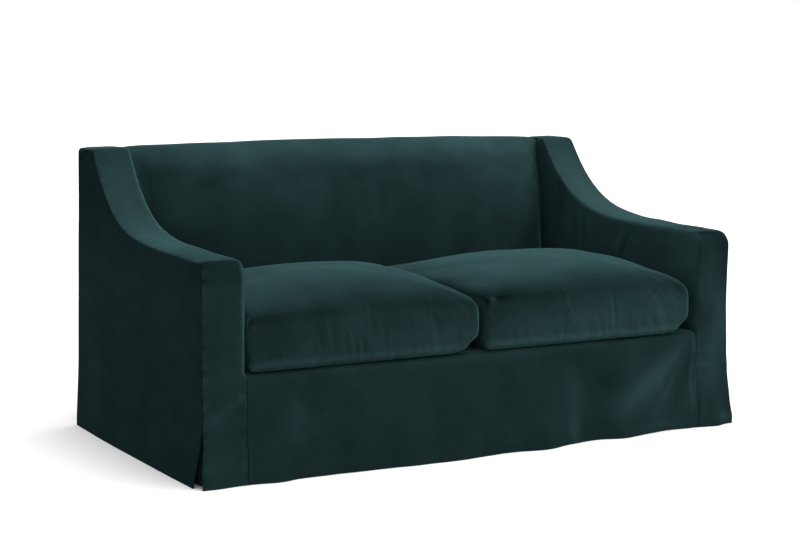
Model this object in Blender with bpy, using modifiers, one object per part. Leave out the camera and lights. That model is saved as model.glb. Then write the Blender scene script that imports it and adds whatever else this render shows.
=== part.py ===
"""Fitted slipcover for a two-seat sofa with sloping arms, with its two seat cushions.

Every piece that is cut and sewn is one object: a sheet of cloth on its real fold, or a filled
cushion. Metres, +Z up. The origin is on the floor, at the middle of the cover's footprint. The
front faces -Y, and +X is on the right of someone who looks at the front. "Setback" is the
distance behind the front plane.
"""
import math

import bmesh
import bpy
from mathutils import Vector

# ---- Driving dimensions ----------------------------------------------------------------------
WIDTH = 1.778            # across the outside of both arms, above the hem's flare
DEPTH = 0.983            # front plane to rear plane
FRONT_Y = -0.476         # the front plane; the front hem stands further out than the rear one
BACK_HEIGHT = 0.865      # top of the back at its ends
REAR_CROWN = 0.0096      # extra height of the top rear edge at its middle
DECK_HEIGHT = 0.300      # the deck that the cushions lie on
ARM_WIDTH = 0.127
ARM_HEIGHT = 0.602       # arm's top line, produced to the front plane
ARM_RISE = 0.031         # how far that line climbs in each metre before it slopes up
SLOPE_START = 0.205      # setback where the slope begins
SLOPE_END = 0.855        # setback where it reaches the top of the back
SLOPE_POWER = 4.3        # the slope is a power curve
SLOPE_CREST = 0.010      # the slope turns into the top of the back over this setback
ARM_NOSE = 0.028         # radius of the arm's front top corner
REAR_ROLL = 0.015        # radius of the top rear edge
RAIL_ROLL = 0.012        # radius where the front panel turns onto the deck
RAIL_LAP = 0.032         # how far the front panel reaches over the deck
CLOTH = 0.0025           # velvet with its turnings
SEAM = 0.0004            # space between two sewn pieces
SEAM_EASE = 0.006        # the cloth lies flat for this far beside a front seam

HEM_TURN = 0.025         # the stitched turning at the floor, which hangs straight
FLARE_HEIGHT = 0.22      # the skirt part spreads below this height
SIDE_FLARE = 0.006       # spread of the outside arms at the hem's rear corner
SIDE_BELLY = 0.014       # extra spread further forward
REAR_FLARE = 0.009       # spread of the outside back at the hem
REAR_WAVE = 0.25         # share of that spread that comes and goes in three waves
SLIT_HEIGHT = 0.190      # kick-pleat slits at the front corners
SLIT_OPENING = {"left": 0.031, "right": 0.024}      # how far the side falls back at the hem
CORNER_REACH = 0.20      # the side follows its front corner's line over this setback
SEAM_INSET = 0.003       # each front seam lies this far towards the middle from the inside arm
SEAM_DRIFT = {"left": -0.004, "right": 0.016}       # outward shift of the front seam at the hem
SEAM_DRIFT_HEIGHT = 0.16 # the shift starts below this height
REAR_DROP = 0.007        # straight stretch from the top rear curve to the seam of the rear panel
BAND_CROWN = 0.004       # swell of the arm's top between its seams
ARM_PUFF = 0.003         # swell of the inside arm between its seams
ARM_PUFF_END = 0.79      # setback where the swell ends, in front of the padded back
ARM_TUCK = 0.014         # how far the inside arm reaches below the deck
ARM_END = 0.896          # setback where the inside arm ends, behind the padded back
DECK_LAP = 0.012         # how far the deck runs on under the padded back

PLEAT_HEM = 0.012        # the underlay ends this high above the floor
PLEAT_REACH = 0.105      # how far the underlay runs along each side of the corner
PLEAT_RADIUS = 0.020
PLEAT_LEAN = 0.011       # how far it falls inwards at its hem

CUSHION_GAP = 0.007      # from the middle of the sofa to each cushion
CUSHION_ARM_GAP = {"left": 0.008, "right": 0.018}   # from a cushion to the inside arm
CUSHION_FRONT = -0.010   # setback of the cushions' front face, just proud of the seat rail
CUSHION_BACK = 0.785     # setback of their rear edge
CUSHION_REST = 0.0005    # above the deck
CUSHION_EDGE = 0.160     # thickness at the sewn edge
CUSHION_CROWN = 0.064    # extra thickness at the middle
CUSHION_SQUARENESS = 14  # power of the superellipse seen from above
CROWN_PLATEAU = 3        # how flat the crown stays over the middle
CROWN_FALL = 0.6         # how steeply it falls to the sewn edge

# The cushion's section, from its underside to its top. share: reach from the middle, 1 at the
# fullest part. height: above the underside, without the crown. crowned: share of the crown.
CUSHION_SECTION = [
    (0.50, 0.000, 0.0),
    (0.93, 0.000, 0.0),
    (0.974, 0.004, 0.0),
    (0.992, 0.014, 0.0),
    (0.999, 0.040, 0.0),
    (1.000, 0.080, 0.05),
    (0.996, 0.114, 0.20),
    (0.978, 0.140, 0.50),
    (0.948, 0.153, 0.80),
    (0.90, 0.159, 1.0),
    (0.80, 0.160, 1.0),
    (0.62, 0.160, 1.0),
    (0.38, 0.160, 1.0),
]

# The front corners, which the cloth draws in and lets out. Each value is outwards from the arm's
# nominal width: for the arm band's edge, then for the outside arm's front edge.
CORNER_COLUMNS = ("height", "band_left", "band_right", "side_left", "side_right")
CORNER_LINE = [
    (0.025, -0.003, 0.012, 0.009, 0.017),
    (0.065, -0.002, 0.004, 0.006, 0.009),
    (0.115, -0.001, -0.002, 0.003, 0.001),
    (0.165, 0.000, -0.007, 0.001, -0.005),
    (0.220, 0.000, -0.010, 0.000, -0.010),
    (0.370, 0.000, -0.011, 0.000, -0.011),
    (0.500, 0.000, -0.006, 0.000, -0.006),
    (0.600, 0.000, 0.000, 0.000, 0.000),
]

# Soft folds of the front, one row each. hem_x: where the ridge meets the floor. reach: how far it
# stands out (a negative one is a hollow). half_width: across the fold. lean: sideways drift for
# each metre of height. top: the height where it has died away.
FOLD_COLUMNS = ("hem_x", "reach", "half_width", "lean", "top")
HOLLOW_LIMIT = 0.006     # no hollow goes deeper than this behind the front plane
FRONT_FOLDS = [
    (-0.665, 0.016, 0.060, 0.15, 0.25),
    (-0.160, 0.029, 0.230, 0.00, 0.29),
    (0.190, 0.032, 0.090, -0.15, 0.27),
    (0.455, 0.023, 0.060, 0.93, 0.32),
    (0.640, -0.007, 0.050, 0.55, 0.24),
    (0.825, 0.014, 0.040, -0.10, 0.24),
]

# Drag lines of the front, where the cloth is pulled into a trough, or with a negative depth into a
# ridge. Each runs straight from its low end to its high end and dies away at both.
CREASE_MARGIN = 0.012    # they are flat this far inside the outside arms' faces, at the seam
CREASE_FADE = 0.030      # and reach their depth this much further in
CREASE_COLUMNS = ("low_x", "low_z", "high_x", "high_z", "depth", "half_width")
FRONT_CREASES = [
    (0.815, 0.225, 0.889, 0.410, 0.006, 0.022),
    (0.560, 0.030, 0.735, 0.250, 0.006, 0.026),
    (-0.880, 0.150, -0.768, 0.300, -0.004, 0.024),
]

# The padded back, from the deck to the rear seam. rise: share of the way from the deck to the top
# of the back, at the middle. end_rise: the same where the pad turns in to meet the inside arms.
BACK_COLUMNS = ("rise", "setback", "end_rise", "end_setback")
BACK_SECTION = [
    (0.001, 0.802, 0.001, 0.830),
    (0.124, 0.798, 0.124, 0.829),
    (0.265, 0.799, 0.265, 0.829),
    (0.407, 0.804, 0.407, 0.829),
    (0.549, 0.812, 0.549, 0.833),
    (0.690, 0.823, 0.690, 0.850),
    (0.805, 0.834, 0.796, 0.866),
    (0.894, 0.843, 0.876, 0.877),
    (0.952, 0.853, 0.935, 0.883),
    (0.993, 0.870, 0.975, 0.888),
    (1.016, 0.893, 0.995, 0.899),
    (1.023, 0.921, 1.000, 0.921),
    (1.020, 0.948, 1.000, 0.948),
]
PAD_SPREAD = 0.4         # power that carries the pad's height towards its ends
BACK_TURN_IN = 0.062     # width of the rounded end of the pad

SIDES = {"left": -1.0, "right": 1.0}
HALF = WIDTH / 2
INNER_X = HALF - ARM_WIDTH
REAR_Y = FRONT_Y + DEPTH
REAR_ROLL_HEIGHT = BACK_HEIGHT - REAR_ROLL       # where the top rear edge's curve ends
REAR_SEAM_HEIGHT = REAR_ROLL_HEIGHT - REAR_DROP
SKIN = CLOTH + SEAM      # from a face to the next piece beneath it

HEM_LEVELS = [0.0, HEM_TURN, 0.065, 0.115, 0.165, FLARE_HEIGHT]
RAIL_LEVELS = HEM_LEVELS + [0.26]
FRONT_LEVELS = RAIL_LEVELS + [DECK_HEIGHT, 0.345, 0.39, 0.43, 0.48, 0.53]


# ---- Curves and folds ------------------------------------------------------------------------
def smooth_step(value):
    """0 below 0, 1 above 1, and an S curve between."""
    t = min(1.0, max(0.0, value))
    return t * t * (3.0 - 2.0 * t)


def arm_top(setback):
    """Height of the arm's top line: nearly level, then a power curve up to the back."""
    level = ARM_HEIGHT + ARM_RISE * setback
    run = min(1.0, max(0.0, (setback - SLOPE_START) / (SLOPE_END - SLOPE_START)))
    return level + (BACK_HEIGHT - level) * run ** SLOPE_POWER


def arc(centre, radius, start, end, steps):
    """Points on an arc in the (setback, height) plane, angles in degrees."""
    points = []
    for step in range(steps + 1):
        angle = math.radians(start + (end - start) * step / steps)
        points.append((centre[0] + radius * math.cos(angle), centre[1] + radius * math.sin(angle)))
    return points


def rear_roll():
    """The top rear edge: a quarter circle and a short drop to the rear seam."""
    roll = arc((DEPTH - REAR_ROLL, REAR_ROLL_HEIGHT), REAR_ROLL, 90, 0, 3)
    return roll + [(DEPTH, REAR_SEAM_HEIGHT)]


def top_line():
    """The arm band's line from the start of the rounded front to the rear seam."""
    nose_top = arm_top(ARM_NOSE)
    line = arc((ARM_NOSE, nose_top - ARM_NOSE), ARM_NOSE, 180, 90, 4)
    steps = 17
    for step in range(1, steps):
        # the stations crowd towards the steep end
        setback = ARM_NOSE + (SLOPE_END - ARM_NOSE) * (step / steps) ** 0.8
        line.append((setback, arm_top(setback)))
    line += [(SLOPE_END - 0.4 * SLOPE_CREST, BACK_HEIGHT - 0.7 * SLOPE_CREST)]
    line += [(SLOPE_END + SLOPE_CREST, BACK_HEIGHT)]
    line.append(((SLOPE_END + DEPTH) / 2, BACK_HEIGHT))
    return line + rear_roll()


def inset(line, distance):
    """The line moved inwards, to its right as it runs, by the same distance everywhere."""
    moved = []
    for index, (s, z) in enumerate(line):
        before = line[max(0, index - 1)]
        after = line[min(len(line) - 1, index + 1)]
        arriving = Vector((s - before[0], z - before[1]))
        leaving = Vector((after[0] - s, after[1] - z))
        if index == 0:
            arriving = Vector((0.0, 1.0))
        if index == len(line) - 1:
            leaving = Vector((0.0, -1.0))
        arriving.normalize()
        leaving.normalize()
        normal = Vector((arriving.y + leaving.y, -arriving.x - leaving.x)).normalized()
        reach = distance / max(0.5, normal.dot(Vector((leaving.y, -leaving.x))))
        moved.append((s + normal.x * reach, z + normal.y * reach))
    return moved


def flare(height):
    """Share of the hem's spread at a height: 1 at the floor, 0 above the skirt part."""
    return max(0.0, 1.0 - max(height, HEM_TURN) / FLARE_HEIGHT) ** 1.6


def front_crease(x, height):
    """Depth of the drag lines at a point of the front."""
    total = 0.0
    for row in FRONT_CREASES:
        crease = dict(zip(CREASE_COLUMNS, row))
        line = Vector((crease["high_x"] - crease["low_x"], crease["high_z"] - crease["low_z"]))
        point = Vector((x - crease["low_x"], height - crease["low_z"]))
        along = point.dot(line) / line.length_squared
        across = (point - along * line).length / crease["half_width"]
        fade = 4.0 * max(0.0, along * (1.0 - along))
        total += crease["depth"] * fade * math.exp(-across * across)
    return total * smooth_step((HALF - CREASE_MARGIN - abs(x)) / CREASE_FADE)


def front_fold(x, height):
    """How far the front cloth stands out of the front plane."""
    height = max(height, HEM_TURN)
    total = -front_crease(x, height)
    for row in FRONT_FOLDS:
        fold = dict(zip(FOLD_COLUMNS, row))
        across = (x - fold["hem_x"] - fold["lean"] * height) / fold["half_width"]
        fade = smooth_step(1.0 - height / fold["top"])
        total += fold["reach"] * fade * math.exp(-across * across)
    return max(-HOLLOW_LIMIT, total)


def seam_x(side, height):
    """The seam between the front panel and an arm band, as a distance from the middle."""
    drop = max(0.0, 1.0 - max(height, HEM_TURN) / SEAM_DRIFT_HEIGHT)
    return INNER_X - SEAM_INSET + SEAM_DRIFT[side] * drop ** 2


def corner_shift(piece, side, height):
    """A front corner's outward shift at a height, between the rows of CORNER_LINE."""
    column = CORNER_COLUMNS.index(piece + "_" + side)
    for lower, upper in zip(CORNER_LINE, CORNER_LINE[1:]):
        if height < upper[0]:
            share = max(0.0, (height - lower[0]) / (upper[0] - lower[0]))
            return lower[column] + (upper[column] - lower[column]) * share
    return CORNER_LINE[-1][column]


# ---- Making a piece --------------------------------------------------------------------------
def start_scene():
    """Empties the scene and gives the collection for the pieces."""
    for old in list(bpy.data.objects):
        bpy.data.objects.remove(old, do_unlink=True)
    collection = bpy.data.collections.new("sofa_slipcover")
    bpy.context.scene.collection.children.link(collection)
    return collection


def velvet(name, tone):
    """Dark teal cotton velvet; tone lightens the pieces that face the light."""
    material = bpy.data.materials.new(name + "_velvet")
    material.use_nodes = True
    shader = material.node_tree.nodes["Principled BSDF"]
    colour = (0.0165 * tone, 0.0440 * tone, 0.0455 * tone, 1.0)
    shader.inputs["Base Color"].default_value = colour
    shader.inputs["Roughness"].default_value = 0.85
    shader.inputs["Metallic"].default_value = 0.0
    shader.inputs["Sheen Weight"].default_value = 0.6
    material.diffuse_color = colour
    return material


def add_object(name, bm, tone):
    """Turns a bmesh into a smooth-shaded object in the slipcover's collection."""
    mesh = bpy.data.meshes.new(name)
    bm.to_mesh(mesh)
    bm.free()
    mesh.shade_smooth()
    mesh.set_sharp_from_angle(angle=math.radians(40))
    mesh.materials.append(velvet(name, tone))
    piece = bpy.data.objects.new(name, mesh)
    bpy.data.collections["sofa_slipcover"].objects.link(piece)
    return piece


def cloth(name, columns, rows, place, outward, tone=1.0):
    """A sheet of cloth: a grid whose vertices go to place(column, row), thickened inwards.

    outward is a rough direction for the visible face at the middle of the sheet.
    """
    bm = bmesh.new()
    bmesh.ops.create_grid(bm, x_segments=columns - 1, y_segments=rows - 1, size=1.0)
    for vertex in bm.verts:
        column = round((vertex.co.x + 1.0) / 2.0 * (columns - 1))
        row = round((vertex.co.y + 1.0) / 2.0 * (rows - 1))
        vertex.co = Vector(place(column, row))
    bm.normal_update()
    facing = sum((face.normal * face.calc_area() for face in bm.faces), Vector())
    if facing.dot(Vector(outward)) < 0.0:
        bmesh.ops.reverse_faces(bm, faces=bm.faces)
    piece = add_object(name, bm, tone)
    thickness = piece.modifiers.new("cloth thickness", "SOLIDIFY")
    thickness.thickness = CLOTH
    thickness.offset = -1.0
    return piece


# ---- The pieces ------------------------------------------------------------------------------
def make_arm_band(side):
    """One strip: up the arm's front, over the nose, along the arm, up the slope, over the back."""
    sign = SIDES[side]
    path = [(0.0, level) for level in FRONT_LEVELS] + top_line()
    across = [0.0, 0.05, 0.19, 0.34, 0.50, 0.66, 0.81, 0.95, 1.0]
    nose_height = arm_top(ARM_NOSE) - ARM_NOSE

    def place(column, row):
        s, z = path[column]
        share = across[row]
        outer = HALF + corner_shift("band", side, z)
        inner = INNER_X if z >= DECK_HEIGHT else seam_x(side, z) + SEAM
        x = sign * (outer + (inner - outer) * share)
        swell = BAND_CROWN * (1.0 - (2.0 * share - 1.0) ** 4)
        on_top = smooth_step((z - nose_height) / ARM_NOSE) * smooth_step((DEPTH - s) / REAR_ROLL / 2)
        out = front_fold(x, z) if s <= 0.0 else 0.0
        return x, FRONT_Y + s - out, z + swell * on_top

    cloth("arm_band_" + side, len(path), len(across), place, (0, -0.5, 1.0), tone=1.2)


def make_outside_arm(side):
    """The side of the cover, from the hem to the band, with its open front corner."""
    sign = SIDES[side]
    outline = inset(top_line(), SKIN)[:-1]
    upper = [0.25, 0.5, 0.75, 0.94, 1.0]

    def place(column, row):
        s, top = outline[column]
        if row < len(HEM_LEVELS):
            z = HEM_LEVELS[row]
        else:
            z = FLARE_HEIGHT + (top - FLARE_HEIGHT) * upper[row - len(HEM_LEVELS)]
        fall = SLIT_OPENING[side] * max(0.0, 1.0 - z / SLIT_HEIGHT) ** 1.2
        belly = SIDE_BELLY * math.sin(math.pi * (1.0 - s / DEPTH) / 1.4)
        from_corner = min(1.0, s / CORNER_REACH)
        spread = (SIDE_FLARE + belly) * flare(z) * from_corner
        spread += corner_shift("side", side, z) * (1.0 - from_corner)
        return sign * (HALF + spread), FRONT_Y + s + fall * (1.0 - from_corner), z

    rows = len(HEM_LEVELS) + len(upper)
    cloth("outside_arm_" + side, len(outline), rows, place, (sign, 0, 0), tone=0.8)


def make_inside_arm(side):
    """The arm's inner face, from just below the deck up to the band."""
    sign = SIDES[side]
    outline = [point for point in inset(top_line(), SKIN) if point[0] < ARM_END - SLOPE_CREST]
    outline.append((ARM_END, BACK_HEIGHT - SKIN))
    foot = DECK_HEIGHT + ARM_TUCK / 2
    shares = [0.0, 0.35, 0.62, 0.92, 1.0]

    def place(column, row):
        s, top = outline[column]
        if row == 0:
            return sign * INNER_X, FRONT_Y + s, DECK_HEIGHT - ARM_TUCK
        share = shares[row - 1]
        along = min(1.0, s / ARM_PUFF_END)
        puff = ARM_PUFF * math.sin(math.pi * share) * math.sin(math.pi * along)
        return sign * (INNER_X - puff), FRONT_Y + s, foot + (top - foot) * share

    cloth("inside_arm_" + side, len(outline), len(shares) + 1, place, (-sign, 0, 0), tone=0.9)


def make_inside_back():
    """The padded back's face, rolled over the top to the rear seam, its ends turned in."""
    stations = [0.0, 0.010, 0.028, 0.046, 0.066, 0.12, 0.24, 0.40, 0.58]
    reach = INNER_X - SEAM
    half = [-reach + step for step in stations]
    columns = half + [0.0] + [-x for x in reversed(half)]
    section = [dict(zip(BACK_COLUMNS, row)) for row in BACK_SECTION]
    roll = rear_roll()

    def place(column, row):
        x = columns[column]
        inward = (reach - abs(x)) / BACK_TURN_IN
        pad = math.sqrt(max(0.0, 1.0 - max(0.0, 1.0 - inward) ** 2))
        if row < len(section):
            here = section[row]
            s = here["end_setback"] + (here["setback"] - here["end_setback"]) * pad
            crown = (1.0 - (x / reach) ** 2) ** PAD_SPREAD
            rise = here["end_rise"] + (here["rise"] - here["end_rise"]) * crown
            return x, FRONT_Y + s, DECK_HEIGHT + (BACK_HEIGHT - DECK_HEIGHT) * rise
        s, z = roll[row - len(section)]
        above_seam = (z - REAR_SEAM_HEIGHT) / REAR_ROLL
        return x, FRONT_Y + s, z + REAR_CROWN * (1.0 - (x / reach) ** 2) * above_seam

    rows = len(section) + len(roll)
    cloth("inside_back", len(columns), rows, place, (0, -1.0, 0.3))


def make_outside_back():
    """The plain rear panel, from the rear seam to the hem."""
    columns = 15
    levels = HEM_LEVELS + [0.42, 0.64, REAR_SEAM_HEIGHT - SEAM]

    def place(column, row):
        share = 2.0 * column / (columns - 1) - 1.0
        z = levels[row]
        wave = 1.0 - REAR_WAVE + REAR_WAVE * math.cos(3.0 * math.pi * share)
        half = HALF + SIDE_FLARE * flare(z)
        return share * half, REAR_Y + REAR_FLARE * wave * flare(z), z

    cloth("outside_back", columns, len(levels), place, (0, 1, 0), tone=0.8)


def make_front_panel():
    """Hangs from the seat rail to the floor in soft folds, and turns onto the deck at its top."""
    inner = [-0.73, -0.68, -0.61, -0.53, -0.44, -0.36, -0.28, -0.20, -0.12, -0.04, 0.04, 0.10,
             0.16, 0.22, 0.28, 0.34, 0.40, 0.45, 0.50, 0.55, 0.60, 0.65, 0.70, 0.735]
    path = [(0.0, level) for level in RAIL_LEVELS + [DECK_HEIGHT - RAIL_ROLL]]
    path += arc((RAIL_ROLL, DECK_HEIGHT - RAIL_ROLL), RAIL_ROLL, 180, 90, 3)[1:]
    path.append((RAIL_LAP, DECK_HEIGHT))
    columns = len(inner) + 4

    def place(column, row):
        s, z = path[row]
        left, right = -seam_x("left", z) + SEAM, seam_x("right", z) - SEAM
        if column < 2:
            x = left + SEAM_EASE * column
        elif column >= columns - 2:
            x = right - SEAM_EASE * (columns - 1 - column)
        else:
            x = inner[column - 2]
        out = front_fold(x, z) if s <= 0.0 else 0.0
        return x, FRONT_Y + s - out, z

    cloth("front_panel", columns, len(path), place, (0, -1, 0.05))


def make_deck():
    """The flat panel under the cushions."""
    reach = INNER_X - SEAM
    start = RAIL_LAP + SEAM
    end = BACK_SECTION[0][BACK_COLUMNS.index("end_setback")] + DECK_LAP
    columns, rows = 7, 5

    def place(column, row):
        x = -reach + 2.0 * reach * column / (columns - 1)
        return x, FRONT_Y + start + (end - start) * row / (rows - 1), DECK_HEIGHT

    cloth("deck", columns, rows, place, (0, 0, 1), tone=0.7)


def make_pleat(side):
    """The L-shaped underlay behind an open front corner."""
    sign = SIDES[side]
    levels = [PLEAT_HEM, 0.08, 0.15, FLARE_HEIGHT]

    def place(column, row):
        z = levels[row]
        lean = PLEAT_LEAN * (1.0 - (z - PLEAT_HEM) / (FLARE_HEIGHT - PLEAT_HEM))
        edge = SKIN + lean
        bend = edge + PLEAT_RADIUS
        plan = [(edge, PLEAT_REACH), (edge, (PLEAT_REACH + bend) / 2)]
        plan += arc((bend, bend), PLEAT_RADIUS, 180, 270, 4)
        plan += [((PLEAT_REACH + bend) / 2, edge), (PLEAT_REACH, edge)]
        inward, setback = plan[column]
        shift = corner_shift("band", side, z) * (1.0 - setback / CORNER_REACH)
        return sign * (HALF + shift - inward), FRONT_Y + setback, z

    cloth("pleat_" + side, 9, len(levels), place, (sign, -1, 0), tone=0.6)


def make_seat_cushion(side):
    """A boxed, filled cushion: a ball whose rings follow the cushion's section.

    Seen from above each ring is a rectangle with round corners (a superellipse). The top swells
    from the sewn edge to the crown.
    """
    inner, outer = CUSHION_GAP, INNER_X - CUSHION_ARM_GAP[side]
    half_x, half_y = (outer - inner) / 2, (CUSHION_BACK - CUSHION_FRONT) / 2
    middle_x = SIDES[side] * (inner + outer) / 2
    middle_y = FRONT_Y + (CUSHION_BACK + CUSHION_FRONT) / 2
    rings = len(CUSHION_SECTION) + 1
    meridians = 40

    def corner(value):
        return math.copysign(abs(value) ** (2.0 / CUSHION_SQUARENESS), value)

    bm = bmesh.new()
    bmesh.ops.create_uvsphere(bm, u_segments=meridians, v_segments=rings, radius=1.0)
    for vertex in bm.verts:
        ring = round(math.acos(max(-1.0, min(1.0, -vertex.co.z))) / math.pi * rings)
        angle = math.atan2(vertex.co.y, vertex.co.x)
        share, height, crowned = 0.0, 0.0, 0.0
        if ring == rings:
            height, crowned = CUSHION_EDGE, 1.0
        elif ring > 0:
            share, height, crowned = CUSHION_SECTION[ring - 1]
        a, b = share * corner(math.cos(angle)), share * corner(math.sin(angle))
        inside = (1.0 - abs(a) ** CROWN_PLATEAU) * (1.0 - abs(b) ** CROWN_PLATEAU)
        dome = max(0.0, inside) ** CROWN_FALL
        z = DECK_HEIGHT + CUSHION_REST + height + crowned * CUSHION_CROWN * dome
        vertex.co = (middle_x + a * half_x, middle_y + b * half_y, z)
    add_object("seat_cushion_" + side, bm, tone=1.1)


def main():
    start_scene()
    for side in SIDES:
        make_arm_band(side)
        make_outside_arm(side)
        make_inside_arm(side)
        make_pleat(side)
        make_seat_cushion(side)
    make_inside_back()
    make_outside_back()
    make_front_panel()
    make_deck()


main()
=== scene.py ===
"""Velvet slipcover for a two-seat sofa with sloping arms, with its two seat cushions.

Metres, +Z up; the front faces -Y and +X is on the right of someone who looks at the front.
"Setback" (s) is the distance behind the front plane. Every panel is a surface worked out on a
grid from the cover's own sizes, with its seams rolled in, its folds and its drag lines, and the
cloth's thickness is added to the inside.
"""
import math

import bpy
import numpy as np
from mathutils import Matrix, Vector


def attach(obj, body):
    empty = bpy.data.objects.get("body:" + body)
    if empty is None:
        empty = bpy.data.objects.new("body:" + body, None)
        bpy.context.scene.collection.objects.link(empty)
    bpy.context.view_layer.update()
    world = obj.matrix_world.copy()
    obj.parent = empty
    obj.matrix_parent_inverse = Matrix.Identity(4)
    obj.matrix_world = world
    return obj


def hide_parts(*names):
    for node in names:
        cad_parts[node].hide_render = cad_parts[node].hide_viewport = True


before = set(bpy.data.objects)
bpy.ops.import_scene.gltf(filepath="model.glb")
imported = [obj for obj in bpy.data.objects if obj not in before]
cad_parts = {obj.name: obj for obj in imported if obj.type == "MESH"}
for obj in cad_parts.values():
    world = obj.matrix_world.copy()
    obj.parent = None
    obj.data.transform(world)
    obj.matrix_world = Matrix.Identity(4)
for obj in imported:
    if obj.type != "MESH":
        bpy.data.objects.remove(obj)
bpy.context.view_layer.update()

bl_info = {
    "name": "Velvet Slipcover",
    "version": (1, 0, 0),
    "blender": (4, 5, 0),
    "location": "View3D > Sidebar > Slipcover",
    "description": "A fitted velvet slipcover with kick pleats and two filled seat cushions",
    "category": "Add Mesh",
}

# ---- Sizes of the cover ----------------------------------------------------------------------
WIDTH = 1.778            # across the outside of both arms, above the hem's flare
DEPTH = 0.983
FRONT_Y = -0.476
BACK_HEIGHT = 0.865
DECK_HEIGHT = 0.300
ARM_WIDTH = 0.127
ARM_HEIGHT = 0.602       # the arm's top line, produced to the front plane
ARM_RISE = 0.031         # climb of that line in each metre before it slopes up
SLOPE_START = 0.205      # setbacks between which the arm slopes up to the back
SLOPE_END = 0.855
SLOPE_POWER = 4.3
SLOPE_CREST = 0.014      # the slope turns into the top of the back over this setback
ARM_NOSE = 0.035         # radius of the arm's front top corner
REAR_ROLL = 0.015        # radius of the top rear edge
REAR_DROP = 0.007        # from there down to the seam of the rear panel
REAR_CROWN = 0.0096      # extra height of the top rear edge at its middle
RAIL_ROLL = 0.020        # radius where the front panel turns onto the deck
RAIL_LAP = 0.032         # how far it reaches over the deck
CLOTH = 0.0025           # velvet with its turnings
SEAM = 0.0004            # space between two sewn edges
SEAM_ROLL = 0.0065       # radius to which a corner seam rounds the cloth
FLAT_ROLL = 0.0030       # the same at a seam between two panels in one plane
FLAT_TURN = 50.0         # degrees that the cloth turns into such a seam
INNER_ROLL = 0.0120      # the softer corner between an arm band and the inside arm
WANDER = 0.0008          # height of the slow waves in the whole cover
NOSE_CRUSH = 0.0065      # the right arm's outer front corner is pushed in by this much
NOSE_CRUSH_REACH = 0.030
NOSE_CRUSH_WAY = (-0.7, 0.1, -0.7)
REAR_LEAN = 0.0065       # the rear corners lean in at the top and spread at the hem this much
SEAM_DIP = 0.00084       # the stitches draw the edges in by this much
SEAM_DIP_WIDTH = 0.0028

HEM_TURN = 0.025         # the stitched turning at the floor, which hangs straight
FLARE_HEIGHT = 0.22      # the skirt part spreads below this height
FLARE_POWER = 1.6        # as this power of the way down
SIDE_FLARE = 0.006
SIDE_BELLY = 0.014
REAR_FLARE = 0.009
REAR_WAVE = 0.25
SLIT_HEIGHT = 0.190      # the kick pleats at the front corners open below this height
SLIT_OPENING = {"left": 0.034, "right": 0.024}
SLIT_POWER = 1.2
CORNER_REACH = 0.20
SEAM_INSET = 0.003
SEAM_DRIFT = {"left": -0.004, "right": 0.016}
SEAM_WOBBLE = {"left": 0.0006, "right": 0.0012}
SEAM_DRIFT_HEIGHT = 0.16
FRONT_SETBACK = 0.010    # an arm band lies in the front plane as far as this
FRONT_DEEPEST = 0.008    # no fold goes further behind the front plane
BAND_CROWN = 0.004
BAND_FRONT_CROWN = 0.0025
BAND_FLATTENS = (0.878, 0.024)    # its inner corner goes flat: from this setback, over this
ARM_PUFF = 0.003
ARM_PUFF_END = 0.79
ARM_TUCK = 0.014
ARM_END = 0.896
DECK_LAP = 0.012
DECK_SAG = 0.0010
PLEAT_HEM = 0.012
PLEAT_REACH = 0.105
PLEAT_RADIUS = 0.020
PLEAT_LEAN = 0.011
BACK_TURN_IN = 0.095
PAD_SPREAD = 0.4
PAD_POWER = 1.7

# Grids: places across the strip beside a seam, rows, and distances between points.
CROWDED = (0.0, 0.12, 0.25, 0.4, 0.6, 0.8)
BAND_LINE_STEP = 0.0055
BAND_EDGE, BAND_STEP = 0.075, 0.045      # as shares of the band's width
SIDE_LINE_STEP = 0.0030
SIDE_CROWDED = (0.06, 0.03)      # every point has its column this near the front and the end
SIDE_BELOW = (0.0, 0.0010, 0.0022, 0.0036, 0.0052, 0.0072, 0.0100, 0.0140, 0.0200, 0.0280)
SIDE_ROWS = 78
BACK_ROWS, BACK_STEP = 150, 0.0085
REAR_EDGE, REAR_STEP_X, REAR_STEP_Z = 0.012, 0.011, 0.0095
FRONT_ROWS, FRONT_EDGE, FRONT_STEP = 58, 0.014, 0.0054
DECK_COLUMNS, DECK_ROWS = 90, 50
PLEAT_ROWS, PLEAT_COLUMNS = 44, 48
CUSHION_ROWS = 160
CUSHION_STEPS = (72, 72, 248, 72)        # along the back, the left, the front and the right

HALF = WIDTH / 2
INNER_X = HALF - ARM_WIDTH
REAR_Y = FRONT_Y + DEPTH
NOSE_HEIGHT = ARM_HEIGHT + ARM_RISE * ARM_NOSE - ARM_NOSE
REAR_ROLL_HEIGHT = BACK_HEIGHT - REAR_ROLL
REAR_SEAM_HEIGHT = REAR_ROLL_HEIGHT - REAR_DROP
CORNER_INSET = SEAM_ROLL * (1.0 - math.cos(math.radians(45.0)))
INNER_INSET = INNER_ROLL * (1.0 - math.cos(math.radians(45.0)))
SIDES = {"left": -1.0, "right": 1.0}

# Outward shift of the front corners at each height: of the arm band's edge, then of the outside
# arm's front edge.
CORNER_COLUMNS = ("height", "band_left", "band_right", "side_left", "side_right")
CORNER_LINE = np.array([
    (0.025, 0.003, 0.020, 0.014, 0.025),
    (0.065, 0.002, 0.011, 0.009, 0.016),
    (0.115, -0.001, 0.004, 0.003, 0.007),
    (0.165, 0.000, -0.003, 0.001, -0.001),
    (0.220, 0.000, -0.007, 0.000, -0.007),
    (0.370, 0.000, -0.010, 0.000, -0.010),
    (0.500, 0.000, -0.006, 0.000, -0.006),
    (0.600, 0.000, -0.002, 0.000, -0.002),
])

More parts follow.
